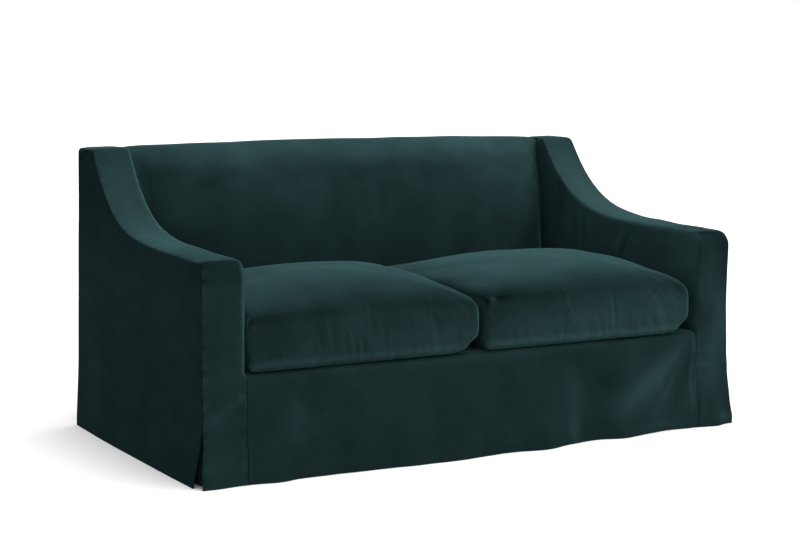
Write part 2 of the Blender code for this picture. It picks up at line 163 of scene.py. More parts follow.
# Folds that hang from the seat rail to the floor: where the ridge meets the floor, how far it
# stands out, its half width, its sideways drift for each metre of height, and where it dies away.
FRONT_FOLDS = [
    # hem_x, reach, half_width, lean, top
    (-0.665, 0.016, 0.060, 0.15, 0.25),
    (-0.160, 0.029, 0.230, 0.00, 0.29),
    (0.190, 0.032, 0.090, -0.15, 0.27),
    (0.455, 0.023, 0.060, 0.93, 0.32),
    (0.640, -0.007, 0.050, 0.55, 0.24),
    (0.825, 0.014, 0.040, -0.10, 0.24),
]

# Slow unevenness in cloth and tone: its height, the factors on its two coordinates (below 1 draws
# the waves out that way), the distance between waves, and the seed of its random draws.
RIPPLE_WAVES = 16
WAVES = {
    "wander_x": (0.15, 1.0, 1.0, 0.40, 111),
    "wander_y": (1.0, 1.0, 1.0, 0.21, 112),
    "wander_z": (0.7, 1.0, 1.0, 0.25, 113),
    "front_long": (0.0012, 1.0, 0.35, 0.16, 5),
    "front_short": (0.0004, 1.0, 1.0, 0.05, 6),
    "front_tone": (0.05, 1.0, 0.5, 0.10, 91),
    "band_long": (0.0005, 1.0, 0.6, 0.18, 21),
    "band_short": (0.0001, 1.0, 1.0, 0.05, 31),
    "band_pucker": (1.0, 1.0, 0.0, 0.034, 37),
    "side_long": (0.0004, 1.0, 1.0, 0.38, 41),
    "side_short": (0.00006, 1.0, 1.0, 0.10, 45),
    "side_tone": (0.04, 0.5, 1.0, 0.11, 51),
    "side_grain": (0.015, 0.5, 1.0, 0.045, 53),
    "inner_long": (0.0006, 1.0, 1.0, 0.11, 61),
    "inner_tone": (0.08, 1.0, 1.0, 0.22, 65),
    "back_long": (0.0009, 1.0, 1.0, 0.22, 71),
    "back_short": (0.0001, 1.0, 1.0, 0.06, 72),
    "back_tone": (0.05, 1.0, 1.0, 0.14, 75),
    "back_streaks": (0.06, 0.4, 1.0, 0.05, 76),
    "rear_long": (0.0011, 1.0, 0.5, 0.26, 81),
    "rear_short": (0.0004, 1.0, 1.0, 0.07, 82),
    "rear_tone": (0.12, 1.0, 1.0, 0.30, 83),
    "deck": (0.3, 1.0, 1.0, 0.10, 95),
    "deck_tone": (0.08, 1.0, 1.0, 0.20, 96),
    "cushion_foot": (0.0004, 1.0, 0.2, 0.030, 101),
    "cushion_long": (0.0007, 1.0, 1.0, 0.20, 102),
    "cushion_short": (0.0001, 1.0, 1.0, 0.05, 103),
    "cushion_tone": (0.05, 1.0, 1.0, 0.14, 105),
}

# Creases, strokes and patches are in millimetres, and tones in thousandths.
TABLE_UNITS = 1000.0

# Creases. Each runs from one point of a panel to another, bowed sideways at its middle, and dies
# away at both ends: a ridge where its height is positive, a trough where it is negative.
# a0, b0, a1, b1, bow, height, half_width
FRONT_CREASES = [
    # x, z
    (815, 225, 884, 420, 10, -6, 20),
    (846, 215, 888, 330, 4, 3, 12),
    (610, 0, 744, 250, 10, -5.5, 24),
    (500, 20, 742, 300, -20, 6, 34),
    (690, 130, 745, 250, 6, 2.2, 10),
    (735, 230, 752, 100, 4, 3.5, 8),
    (742, 150, 764, 20, -3, 4.2, 7),
    (790, 110, 800, 10, 4, -4, 12),
    (770, 180, 790, 60, 2, 2.2, 7),
    (810, 30, 885, 10, 0, 4, 12),
    (288, 210, 312, 0, 6, 4.2, 28),
    (262, 250, 285, 120, 6, 2.5, 30),
    (-118, 170, -170, 30, -8, 3, 10),
    (-150, 150, -192, 20, -6, -3, 16),
    (-612, 215, -618, 80, 4, 3.5, 22),
    (-700, 100, -705, 10, 2, -3, 16),
    (-520, 160, -480, 20, 6, -3.5, 30),
    (-320, 200, -350, 50, 8, 2.2, 35),
    (60, 210, 80, 30, -10, -3.5, 35),
    (380, 120, 400, 10, 4, -4, 30),
    (-764, 250, -800, 205, 4, 4, 9),
    (-765, 285, -880, 160, -10, -3.5, 20),
    (-770, 190, -868, 120, -6, 2.5, 14),
    (-868, 70, -850, 20, 2, 3, 12),
    (-752, 120, -757, 20, 1, 2.6, 5),
]
OUTER_LEFT_CREASES = [
    # s, z
    (60, 560, 300, 420, -30, 0.7, 40),
    (120, 300, 160, 40, 10, -1, 50),
    (260, 260, 300, 20, -10, 1.2, 55),
    (520, 300, 560, 20, 14, -1.2, 65),
    (760, 300, 740, 20, 10, 1, 55),
    (890, 855, 975, 849, 3, 4, 7.5),
    (880, 836, 978, 833, 3, -2, 8),
]
OUTER_RIGHT_CREASES = [
    (30, 500, 20, 250, 4, -3, 18),
    (140, 290, 170, 30, -8, 2.6, 45),
    (340, 320, 300, 20, 12, -2.4, 55),
    (640, 280, 660, 20, 10, 2.4, 50),
    (420, 560, 740, 640, 30, -1.4, 50),
]
INNER_LEFT_CREASES = [
    (600, 620, 620, 480, 4, 3, 10),
    (400, 560, 440, 470, 4, 3, 12),
    (740, 720, 790, 520, -8, -3, 20),
]
INNER_RIGHT_CREASES = [
    (621, 640, 626, 470, 3, 3.6, 8),
    (600, 630, 604, 470, 3, -2.6, 12),
    (366, 590, 432, 470, 6, 4, 9),
    (346, 590, 404, 470, 6, -3.8, 14),
    (730, 740, 780, 500, -10, -3.6, 24),
    (690, 660, 700, 480, 3, 2, 10),
    (120, 560, 200, 470, 10, -1.6, 30),
]
BACK_CREASES = [
    # x, z
    (698, 850, 752, 760, 4, -5, 10),
    (716, 842, 750, 700, -4, 3.5, 9),
    (690, 770, 738, 660, 4, 2.5, 12),
    (735, 740, 742, 520, 0, -3, 10),
    (-735, 840, -722, 700, -6, -5, 14),
    (-700, 850, -680, 760, 4, 2, 18),
    (-742, 700, -738, 520, 0, -3, 12),
    (20, 830, 30, 480, 6, -2.2, 20),
    (62, 810, 58, 500, 4, 1.6, 16),
    (-480, 700, -300, 470, 20, -2, 60),
    (380, 760, 340, 480, -20, -1.8, 50),
    (-250, 850, 150, 842, 4, 1.2, 20),
    (-620, 560, -300, 500, -10, 1.6, 40),
]

# The padded back, from the deck to the rear seam: its rise as a share of the way from the deck to
# the top of the back, and its setback, at the middle and where it turns in to the inside arms.
BACK_SECTION = [
    # rise, setback, end_rise, end_setback
    (0.001, 0.802, 0.001, 0.852),
    (0.124, 0.798, 0.124, 0.857),
    (0.265, 0.799, 0.265, 0.859),
    (0.407, 0.804, 0.407, 0.860),
    (0.549, 0.812, 0.549, 0.863),
    (0.690, 0.823, 0.690, 0.873),
    (0.805, 0.836, 0.796, 0.882),
    (0.894, 0.848, 0.876, 0.887),
    (0.952, 0.862, 0.935, 0.888),
    (0.993, 0.881, 0.975, 0.890),
    (1.016, 0.903, 0.995, 0.900),
    (1.023, 0.926, 1.000, 0.921),
    (1.020, 0.948, 1.000, 0.948),
]

# Where the pile lies another way and looks lighter or darker, as soft round patches and as strokes
# with the shape of creases. The front's strokes are painted light and shade along its folds and
# seams, and some of the back's strokes are painted highlights.
FRONT_PATCHES = [
    # x, z, reach_x, reach_z, tone
    (-612, 150, 35, 70, 300),
    (-520, 60, 120, 50, -120),
    (-300, 140, 80, 80, 80),
    (180, 220, 120, 60, 60),
    (100, 80, 120, 80, -100),
    (640, 120, 160, 140, 600),
    (820, 300, 50, 300, 380),
    (802, 590, 40, 30, 300),
    (862, 340, 28, 80, 750),
    (850, 190, 40, 45, -200),
    (850, 460, 50, 60, -220),
    (790, 400, 22, 120, -180),
    (825, 250, 40, 60, 150),
    (820, 80, 50, 60, -250),
]
FRONT_SHADING_STROKES = [
    # x, z, x, z, bow, tone, half_width
    (735, 285, 450, 70, 0, 750, 30),
    (735, 295, 620, 185, 0, 250, 13),
    (620, 175, 380, 60, 0, 150, 45),
    (737, 245, 665, 20, 6, -350, 22),
    (700, 160, 650, 30, 0, -120, 30),
    (741, 240, 757, 0, -8, 1100, 4.5),
    (753, 235, 764, 10, 0, 900, 3.5),
    (745, 298, 752, 225, 0, 800, 6),
    (766, 140, 772, 10, 0, -450, 6),
    (766, 205, 808, 186, 0, 400, 10),
    (770, 300, 838, 405, 0, -300, 18),
    (840, 34, 900, 20, 0, 900, 14),
    (280, 270, 306, -60, 4, 400, 28),
    (292, 120, 306, -60, 0, 500, 20),
    (500, 28, 745, 16, 0, 350, 12),
    (330, 215, 500, 150, 0, -250, 40),
    (370, 50, 480, 30, 0, -300, 30),
    (-792, 238, -760, 244, 0, 600, 10),
    (-775, 235, -880, 155, -6, 220, 14),
    (-775, 130, -768, 20, 2, 450, 4),
    (-880, 80, -850, 20, 0, 300, 12),
    (-884, 560, -880, 490, 0, 400, 4),
    # Painted highlight along the rounded edge of the seat rail.
    (-760, 292, 760, 292, 0, 300, 22),
]
BACK_PATCHES = [
    # x, z, reach_x, reach_z, tone
    (-400, 810, 130, 50, 300),
    (-210, 740, 70, 90, 280),
    (-670, 730, 60, 80, -150),
    (-520, 600, 200, 70, -220),
    (400, 850, 200, 40, 400),
    (430, 800, 60, 40, 250),
    (600, 760, 150, 90, 560),
    (50, 830, 100, 40, 100),
    (560, 560, 140, 60, 20),
]
BACK_STROKES_AND_HIGHLIGHTS = [
    # x, z, x, z, bow, tone, half_width
    (-620, 858, 700, 860, 4, 220, 16),
    (-60, 815, 130, 822, 6, 320, 18),
    (150, 835, 420, 815, -10, 200, 16),
    (-350, 760, -230, 640, 20, 160, 40),
    (-60, 790, -75, 600, 4, -160, 14),
    (480, 760, 660, 735, 10, 200, 22),
    (690, 800, 722, 640, 10, 300, 10),
    (330, 800, 350, 620, 6, -100, 16),
    (95, 790, 105, 580, 0, -160, 20),
    (175, 800, 185, 600, 0, -160, 16),
    (35, 780, 40, 600, 0, -100, 18),
    (255, 790, 250, 640, 0, 100, 20),
    # Painted highlights: on the puckers at the right end, and a light line along the left end beside
    # the arm.
    (700, 832, 735, 770, 0, 700, 5),
    (712, 730, 748, 665, 0, 600, 6),
    (-752, 880, -726, 690, 0, 1300, 14),
]
# Painted light and shade on the back, in slow changes of its tone: lighter towards the top and the
# right, darker low down, towards the left and at the right end beside the arm. Each row: the way,
# the start, the reach (negative: the other way), tone.
BACK_LIGHT_AND_SHADE_RAMPS = (
    ("z", 0.775, 0.070, 0.50),
    ("z", 0.680, -0.160, -0.32),
    ("x", 0.100, 0.500, 0.16),
    ("x", -0.300, -0.350, -0.18),
    ("x", INNER_X - SEAM - 0.020, 0.018, -0.45),
)
BAND_PATCHES = {
    # distance along the band from the hem, distance across it from the outside, reaches, tone
    "left": [
        (1350, 60, 250, 100, 380),
        (1080, 60, 200, 100, 720),
        (690, 60, 130, 100, -420),
        (735, 0, 85, 35, -420),
        (350, 60, 280, 100, -100),
    ],
    "right": [
        (1270, 60, 300, 100, 1400),
        (950, 60, 120, 100, 250),
        (680, 60, 120, 100, -620),
        (350, 60, 280, 100, 80),
    ],
}

BAND_PUCKER = 0.0004     # the long seams pucker the band's edges this much
BAND_PUCKER_REACH = 0.009
# Painted light and shade on the puckers: lighter on their crests, darker in their hollows.
BAND_PUCKER_SHADING = 0.22
BAND_INNER_TONE = 0.15   # from the outer to the inner seam
# Painted highlight: a light line along each band's inner seam, where the cloth rounds away.
BAND_RIM_HIGHLIGHT_WIDTH = 0.007
BAND_RIM_HIGHLIGHT = {"left": 2.60, "right": 0.90}
BAND_NOSE_SHADE = -0.30   # painted shade at the top front corner, where the top turns down to the front
BAND_NOSE_SHADE_WIDTH = 0.050
SIDE_FRONT_TONE = -0.08  # of the outside arms beside their front edge
SIDE_TOP_SHADE = -0.34    # and painted shade high up at the back
INNER_END_SHADE = -0.50   # painted shade of the inside arms in the corner beside the back
INNER_SEAM_SHADE = -0.80  # and painted shade beside their top seam
INNER_CREASE_SHADING = 170.0        # and painted light and shade on their creases, lighter on ridges and darker in troughs, for each metre of height

# Tone of each panel: its pile, which lies another way in each, with painted shade on the outside
# arms and painted light on the inside arms, which stand in shade: 0 is the mean, 1 twice as light.
PANEL_TONE_AND_PAINTED_LIGHT = {
    "arm_band": 0.10,
    "outside_arm": -0.27,
    "inside_arm": 1.15,
    "inside_back": 0.36,
    "outside_back": 0.00,
    "front_panel": -0.04,
    "deck": -0.20,
    "pleat": -0.40,
    "seat_cushion": 0.05,
}

# ---- The filled seat cushions ----------------------------------------------------------------
CUSHION_GAP = {"left": 0.020, "right": -0.016}    # to the middle of the sofa
CUSHION_ARM_GAP = {"left": 0.003, "right": 0.022}
CUSHION_FRONT = -0.010
CUSHION_BACK = 0.785
CUSHION_REST = 0.0005
CUSHION_CROWN = 0.071
CUSHION_CORNERS = {-1: 0.42, 1: 1.00}    # share of a corner's radius at the left and right end
CUSHION_TUCK = 0.017     # the right end is drawn in this much at its foot
CUSHION_TUCK_HEIGHT = 0.030
CUSHION_LIFT = 0.015     # the right front corner's foot stands this far off the deck
CUSHION_LIP = 0.0050     # the front stands out this much just above its lower edge
CROWN_PEAK = (0.06, -0.09)      # place of the highest point, as a share of the way out in x and y
CROWN_FALL_X = (1.8, 3.8)       # powers with which the crown falls to the left and to the right
CROWN_FALL_Y = (2.4, 2.3)       # and to the front and to the back
FOLD_FIRST_ROW, FOLD_ROW_STEP, FOLD_COLUMN_STEP = 18, 3, 3    # of the grid that is blown up
FOLD_FRAMES = 20
FOLD_PRESSURE = 4.0
FOLD_EXCESS = 0.025      # how much larger than the cushion its cover is cut
FOLD_PIN_HEIGHT = 0.006
FOLD_BLUR = 12
FOLD_REACH = 0.0042      # the folds stay within this
FOLD_CALM_TOP = 0.60     # and are less by this share on the top
FOLD_CLOTH = {           # settings of the cloth solver
    "quality": 5,
    "mass": 0.3,
    "tension_stiffness": 12.0,
    "compression_stiffness": 12.0,
    "shear_stiffness": 6.0,
    "bending_stiffness": 0.15,
    "tension_damping": 8.0,
    "compression_damping": 8.0,
    "shear_damping": 8.0,
    "air_damping": 4.0,
    "use_pressure": True,
    "uniform_pressure_force": FOLD_PRESSURE,
    "shrink_min": -FOLD_EXCESS,
    "vertex_group_mass": "sewn",
}
# Its section, from the middle of the underside to the middle of the top: the share of the way out,
# the height without the crown, the share of the crown, and the radius of its corners from above.
CUSHION_SECTION = [
    # share, height, crowned, corner
    (0.0000, 0.0000, 0.00, 0.060),
    (0.5000, 0.0000, 0.00, 0.060),
    (0.8800, 0.0000, 0.00, 0.070),
    (0.9300, 0.0005, 0.00, 0.070),
    (0.9620, 0.0050, 0.00, 0.068),
    (0.9830, 0.0140, 0.00, 0.064),
    (0.9950, 0.0300, 0.00, 0.057),
    (1.0000, 0.0520, 0.00, 0.050),
    (0.9990, 0.0800, 0.02, 0.044),
    (0.9940, 0.1080, 0.11, 0.037),
    (0.9830, 0.1290, 0.33, 0.034),
    (0.9610, 0.1440, 0.61, 0.038),
    (0.9250, 0.1545, 0.84, 0.048),
    (0.8600, 0.1605, 0.97, 0.066),
    (0.7400, 0.1615, 1.00, 0.080),
    (0.4800, 0.1600, 1.00, 0.080),
    (0.2200, 0.1600, 1.00, 0.080),
    (0.0000, 0.1600, 1.00, 0.080),
]
# Gathers on a cushion's front, as creases in x and z.
LEFT_GATHERS = [
    (-526, 448, -509, 322, 0, 3.4, 6.5),
    (-546, 430, -538, 318, 0, -1.6, 6),
    (-501, 432, -496, 316, 0, -2, 4.5),
    (-477, 402, -470, 322, 0, 1.4, 6),
    (-457, 398, -441, 320, 0, 3.6, 5),
    (-434, 378, -430, 318, 0, -2.3, 4),
    (-421, 378, -420, 316, 0, 3.9, 4),
    (-411, 382, -409, 316, 0, -1.5, 4),
    (-391, 475, -400, 340, 0, 3.1, 5.5),
    (-378, 420, -380, 330, 0, -0.8, 6),
    (-360, 415, -350, 330, 0, 1.9, 6.5),
    (-338, 395, -340, 330, 0, -1, 5),
    (-328, 395, -330, 325, 0, 2.2, 4.5),
    (-308, 385, -306, 330, 0, -0.6, 6),
    (-250, 380, -246, 330, 0, 1, 8),
    (-193, 445, -198, 385, 0, 1.7, 5),
    (-590, 385, -585, 325, 0, 1.2, 8),
]
RIGHT_GATHERS = [
    (257, 460, 258, 400, 0, -1.5, 5.5),
    (262, 400, 265, 330, 0, -1, 6),
    (274, 460, 270, 400, 0, 2, 4.5),
    (289, 460, 291, 395, 0, -2, 4.2),
    (386, 446, 378, 395, 0, -1, 5.5),
    (418, 448, 415, 320, 0, -1.6, 4.5),
    (431, 446, 434, 325, 0, 3.2, 5),
    (443, 446, 446, 326, 0, -1.8, 4),
    (248, 360, 251, 315, 0, 2.2, 4.5),
    (273, 358, 270, 318, 0, 2.9, 4.5),
    (380, 360, 384, 308, 0, 2, 4.5),
    (408, 358, 411, 306, 0, 2.2, 4.5),
    (136, 354, 136, 318, 0, 1.9, 4),
    (147, 388, 147, 330, 0, -0.9, 5),
    (190, 420, 189, 380, 0, -0.8, 7),
    (560, 390, 562, 330, 0, 0.8, 10),
]
GATHER_SHADING = (100.0, 60.0)     # painted light on their ridges and painted shade in their troughs, for each metre of height
# Tone of the pile on each cushion's front.
CUSHION_PATCHES = {
    "left": [
        # x, z, reach_x, reach_z, tone
        (-250, 350, 300, 40, 440),
        (-680, 410, 100, 60, -360),
        (-100, 340, 100, 50, 300),
    ],
    "right": [
        (400, 350, 340, 60, 820),
        (640, 370, 80, 70, 400),
        (120, 420, 120, 40, -300),
        (500, 430, 200, 30, 180),
        # Painted highlight on the pucker at the right cushion's inner top corner.
        (20, 452, 14, 12, 1100),
    ],
}
# Painted light and shade on the cushions: lighter where the top faces up, darker on the shoulder
# where the top turns down to the front, darker on the right cushion's top towards its left end, and
# a painted highlight along the foot of the front.
CUSHION_TOP_LIGHT = {"left": 0.60, "right": 1.00}
CUSHION_TOP_LIGHT_SPREAD = {"left": 0.60, "right": 0.42}   # depth over which that painted light comes in
CUSHION_SHOULDER_SHADE = -0.36
CUSHION_NEAR_SHADE = {"left": 0.0, "right": -0.60}     # painted shade on top, towards the left end
CUSHION_FOOT_HIGHLIGHT = {"left": 0.75, "right": 1.00}

# ---- Finish, light and camera ----------------------------------------------------------------
# Ends of the velvet's colour; the panels' tone attribute, which holds painted light and shade as
# well as the pile's tone, mixes between them.
VELVET_DARK = (0.00043, 0.0010, 0.0010)
VELVET_LIGHT = (0.0280, 0.0640, 0.0660)
NAP_MEAN = 0.2           # how far the mean tone lies from the dark colour to the light one
SHEEN_TINT = (0.42, 0.95, 1.0)
OUTER_PANELS = ("outside_arm", "outside_back")
OUTER_SHEEN = 0.3        # their pile lies flatter: this share of the sheen of the rest
# Noise in the pile's tone: scale, detail, stretch, and its share of one of the velvet's settings.
NAP_NOISE = (
    (5.0, 3.0, (1.0, 1.0, 1.0), 1.00, "clouds"),
    (16.0, 3.0, (1.2, 1.2, 0.8), 0.55, "clouds"),
    (62.0, 3.0, (1.0, 1.0, 1.0), 0.55, "clouds"),
    (420.0, 2.0, (1.0, 1.0, 1.0), 1.00, "grain"),
)
CRUSH_NOISE, CRUSH_STRENGTH, CRUSH_HEIGHT = 45.0, 0.10, 0.0012
PILE_NOISE, PILE_HEIGHT = 900.0, 0.0006
FLOOR_REACH, FLOOR_LEVEL = 20.0, -0.0006
OVERHEAD_PLACE = (1.1, -1.4, 4.2)
CAMERA_PLACE = (-2.67168, -4.71114, 1.1345)
CAMERA_TURN = 29.336     # degrees to the right of straight ahead
CAMERA_TILT = 4.0        # degrees down
CAMERA_LENS = 78.922
CAMERA_SHIFT = -0.11214


# ---- Curves ----------------------------------------------------------------------------------
def rise(value, start, reach):
    """0 before the start, 1 a reach further on, t*t*(3 - 2t) between; a negative reach falls."""
    t = np.clip((value - start) / reach, 0.0, 1.0)
    return t * t * (3.0 - 2.0 * t)


def bell(value, centre, width):
    """1 at the centre, and exp(-(distance / width)^2) around it."""
    return np.exp(-((value - centre) / width) ** 2)


def arm_top(setback):
    """Height of the arm: a nearly level line, plus a power curve that climbs to the back."""
    level = ARM_HEIGHT + ARM_RISE * setback
    run = np.clip((setback - SLOPE_START) / (SLOPE_END - SLOPE_START), 0.0, 1.0)
    return level + (BACK_HEIGHT - level) * run ** SLOPE_POWER


def arc(centre, radius, start, end, steps):
    """Points on a circle, angles in degrees: centre + radius * (cos, sin)."""
    angle = np.radians(np.linspace(start, end, steps + 1))
    return np.stack([centre[0] + radius * np.cos(angle), centre[1] + radius * np.sin(angle)], axis=1)


def bend(start, corner, end, steps):
    """A quadratic curve from start to end, drawn towards the corner."""
    t = np.linspace(0.0, 1.0, steps + 1)[:, None]
    start, corner, end = (np.array(point) for point in (start, corner, end))
    return (1 - t) ** 2 * start + 2 * t * (1 - t) * corner + t * t * end


def spline(rows, count):
    """A Catmull-Rom curve through every row of a table, read at evenly spaced places."""
    table = np.array(rows, float)
    padded = np.vstack([2 * table[0] - table[1], table, 2 * table[-1] - table[-2]])
    place = np.linspace(0.0, len(table) - 1.0, count)
    low = np.minimum(place.astype(int), len(table) - 2)
    t = (place - low)[:, None]
    p0, p1, p2, p3 = (padded[low + k] for k in range(4))
    return 0.5 * (2 * p1 + (p2 - p0) * t + (2 * p0 - 5 * p1 + 4 * p2 - p3) * t ** 2
                  + (3 * p1 - 3 * p2 + p3 - p0) * t ** 3)


def lengths(line):
    """Distance along a line of points, from its first one."""
    steps = np.linalg.norm(np.diff(line, axis=0), axis=1)
    return np.concatenate([[0.0], np.cumsum(steps)])


def reread(line, places):
    """The points at given distances along a line."""
    far = lengths(line)
    return np.stack([np.interp(places, far, line[:, k]) for k in range(line.shape[1])], axis=1)


def resample(line, step):
    """The same line with its points about one step apart."""
    length = lengths(line)[-1]
    return reread(line, np.linspace(0.0, length, max(2, int(round(length / step)) + 1)))


def outward(line):
    """Unit normals on the left of a line in the (setback, height) plane: tangent turned by 90."""
    tangent = np.gradient(line, axis=0)
    tangent /= np.linalg.norm(tangent, axis=1)[:, None]
    return np.stack([-tangent[:, 1], tangent[:, 0]], axis=1)


def top_line():
    """The arm's line: round nose, arm, slope, crest, top of the back, rounded rear edge."""
    nose = arc((ARM_NOSE, NOSE_HEIGHT), ARM_NOSE, 180, 90, 14)
    setback = np.linspace(ARM_NOSE, SLOPE_END - SLOPE_CREST, 200)[1:]
    slope = np.stack([setback, arm_top(setback)], axis=1)
    crest = bend(slope[-1], (SLOPE_END, BACK_HEIGHT), (SLOPE_END + SLOPE_CREST, BACK_HEIGHT), 8)[1:]
    rear = arc((DEPTH - REAR_ROLL, REAR_ROLL_HEIGHT), REAR_ROLL, 90, 0, 8)
    return np.vstack([nose, slope, crest, rear])


def band_line():
    """The arm band's line: up the front from the floor, along the arm's line, down to its seam."""
    return np.vstack([[[0.0, 0.0]], top_line(), [[DEPTH, REAR_SEAM_HEIGHT]]])


def edge_steps(length, near, step):
    """Places from 0 to length: crowded over the width near at both ends, a step apart between."""
    edge = near * np.array(CROWDED)
    middle = np.linspace(near, length - near, max(2, int((length - 2 * near) / step)))
    return np.concatenate([edge, middle, length - edge[::-1]])


# ---- Folds, seams and unevenness -------------------------------------------------------------
def ripple(a, b, size, seed):
    """Smooth unevenness about 1 high: a sum of cosines in random directions, a size apart."""
    random = np.random.default_rng(seed)
    total = np.zeros(np.broadcast(a, b).shape)
    for _ in range(RIPPLE_WAVES):
        angle, phase = random.uniform(0.0, 2.0 * math.pi, 2)
        pitch = size * random.uniform(0.7, 1.7)
        total += np.cos(2 * math.pi / pitch * (a * math.cos(angle) + b * math.sin(angle)) + phase)
    return total / math.sqrt(RIPPLE_WAVES / 2)


def waves(name, a, b, sign=0.0):
    """The unevenness of one row of WAVES, drawn anew for each side."""
    height, factor_a, factor_b, size, seed = WAVES[name]
    return height * ripple(factor_a * a, factor_b * b, size, seed + int(sign))


def creases(rows, a, b):
    """Height of all creases of a panel: a bell across each line, a half sine along it."""
    total = np.zeros(np.broadcast(a, b).shape)
    for a0, b0, a1, b1, bow, height, half_width in np.divide(rows, TABLE_UNITS):
        length = math.hypot(a1 - a0, b1 - b0)
        ua, ub = (a1 - a0) / length, (b1 - b0) / length
        along = ((a - a0) * ua + (b - b0) * ub) / length
        arch = np.sin(math.pi * np.clip(along, 0.0, 1.0))
        across = (b - b0) * ua - (a - a0) * ub - bow * arch
        total += height * arch * bell(across, 0.0, half_width)
    return total


def patches(rows, a, b):
    """Tone of the pile: a sum of soft round patches."""
    total = np.zeros(np.broadcast(a, b).shape)
    for a0, b0, reach_a, reach_b, tone in np.divide(rows, TABLE_UNITS):
        total += tone * np.exp(-((a - a0) / reach_a) ** 2 - ((b - b0) / reach_b) ** 2)
    return total


def seam_roll(distance, radius, turn=45.0):
    """Drop of the cloth near its seam: it follows a circle until it has turned by that angle."""
    reach = np.clip(radius * math.sin(math.radians(turn)) - distance, 0.0, None)
    return radius - np.sqrt(radius ** 2 - np.minimum(reach, radius) ** 2)


def seam_dip(distance):
    """How far the stitches draw the edge in: a parabola that ends a little way from the seam."""
    return SEAM_DIP * np.clip(1.0 - distance / SEAM_DIP_WIDTH, 0.0, 1.0) ** 2


def flat_seam(distance):
    """Drop of the cloth at a seam between two panels in one plane."""
    return seam_roll(distance, FLAT_ROLL, FLAT_TURN)


def flare(height):
    """Share of the hem's spread at a height: 1 at the floor, 0 above the skirt part."""
    return np.clip(1.0 - np.maximum(height, HEM_TURN) / FLARE_HEIGHT, 0.0, 1.0) ** FLARE_POWER


def front_out(x, height):
    """How far the front cloth stands out of the front plane: its folds and creases."""
    height = np.maximum(height, HEM_TURN)
    held = rise(np.abs(x), HALF - 0.010, -0.020)
    total = creases(FRONT_CREASES, x, height) * held
    for hem_x, reach, half_width, lean, top in FRONT_FOLDS:
        total = total + reach * rise(height, top, -top) * bell(x - lean * height, hem_x, half_width)
    total = total + rise(height, DECK_HEIGHT, -0.12) * waves("front_long", x, height)
    total = total + held * waves("front_short", x, height)
    return np.maximum(-FRONT_DEEPEST, total)


def front_tone(x, height):
    """Tone of the front's pile, with painted light and shade along its folds and seams and a painted
    highlight along the seat rail.
    """
    # The pile's patches, and strokes of painted light and shade along the folds, the seams and the
    # seat rail.
    brushed = patches(FRONT_PATCHES, x, height) + creases(FRONT_SHADING_STROKES, x, height)
    return brushed + waves("front_tone", x, height)


def seam_x(side, height):
    """The seam between the front panel and an arm band, as a distance from the middle."""
    drop = np.clip(1.0 - np.maximum(height, HEM_TURN) / SEAM_DRIFT_HEIGHT, 0.0, 1.0)
    wobble = np.sin(height / 0.0185 + 0.6) + 0.5 * np.sin(height / 0.0075 + 2.0)
    wobble = SEAM_WOBBLE[side] * wobble * rise(height, DECK_HEIGHT - RAIL_ROLL, -0.03)
    return INNER_X - SEAM_INSET + SEAM_DRIFT[side] * drop ** 2 + wobble


def corner_shift(piece, side, height):
    """A front corner's outward shift at a height, between the rows of CORNER_LINE."""
    column = CORNER_COLUMNS.index(piece + "_" + side)
    return np.interp(height, CORNER_LINE[:, 0], CORNER_LINE[:, column])


# ---- Making a piece --------------------------------------------------------------------------
def grid_points(x, y, z):
    """A grid of points (rows, columns, 3) from its three coordinates, each spread over it."""
    return np.stack(np.broadcast_arrays(x, y, z), axis=-1)


def grid_faces(rows, columns, closed):
    """Corner numbers of the quads of a grid, whose last column may join its first."""
    index = np.arange(rows * columns).reshape(rows, columns)
    if closed:
        index = np.hstack([index, index[:, :1]])
    quads = np.stack([index[:-1, :-1], index[:-1, 1:], index[1:, 1:], index[1:, :-1]], axis=-1)
    return quads.reshape(-1, 4)


def mark_borders(mesh, rows, columns):
    """Keeps the shading of an open grid's rim apart from the turned cloth behind it."""
    border = np.zeros((rows, columns), np.int8)
    border[0], border[-1] = 1, 2
    border[:, 0] += 4
    border[:, -1] += 8
    border = border.reshape(-1)
    pairs = np.empty(len(mesh.edges) * 2, np.int32)
    mesh.edges.foreach_get("vertices", pairs)
    cut = (border[pairs[0::2]] & border[pairs[1::2]]) > 0
    mesh.attributes.new("sharp_edge", "BOOLEAN", "EDGE").data.foreach_set("value", cut)


def add_grid(name, points, nap, facing=None, closed=False):
    """A smooth mesh from a grid of points (rows, columns, 3), with the tone of its pile and its
    painted light and shade.
    """
    rows, columns = points.shape[:2]
    faces = grid_faces(rows, columns, closed)
    if facing is not None:
        across = points[:-1, 1:] - points[:-1, :-1]
        down = points[1:, :-1] - points[:-1, :-1]
        if (np.cross(across, down).sum(axis=(0, 1)) * np.array(facing)).sum() < 0.0:
            faces = faces[:, ::-1]
    mesh = bpy.data.meshes.new(name)
    mesh.from_pydata(points.reshape(-1, 3), [], faces.tolist())
    tone = mesh.attributes.new("nap", "FLOAT", "POINT")
    level = np.clip(NAP_MEAN * (1.0 + nap), 0.0, 1.0)
    tone.data.foreach_set("value", level.astype(np.float32).reshape(-1))
    mesh.shade_smooth()
    if not closed:
        mark_borders(mesh, rows, columns)
    piece = bpy.data.objects.new(name, mesh)
    bpy.context.scene.collection.objects.link(piece)
    return piece


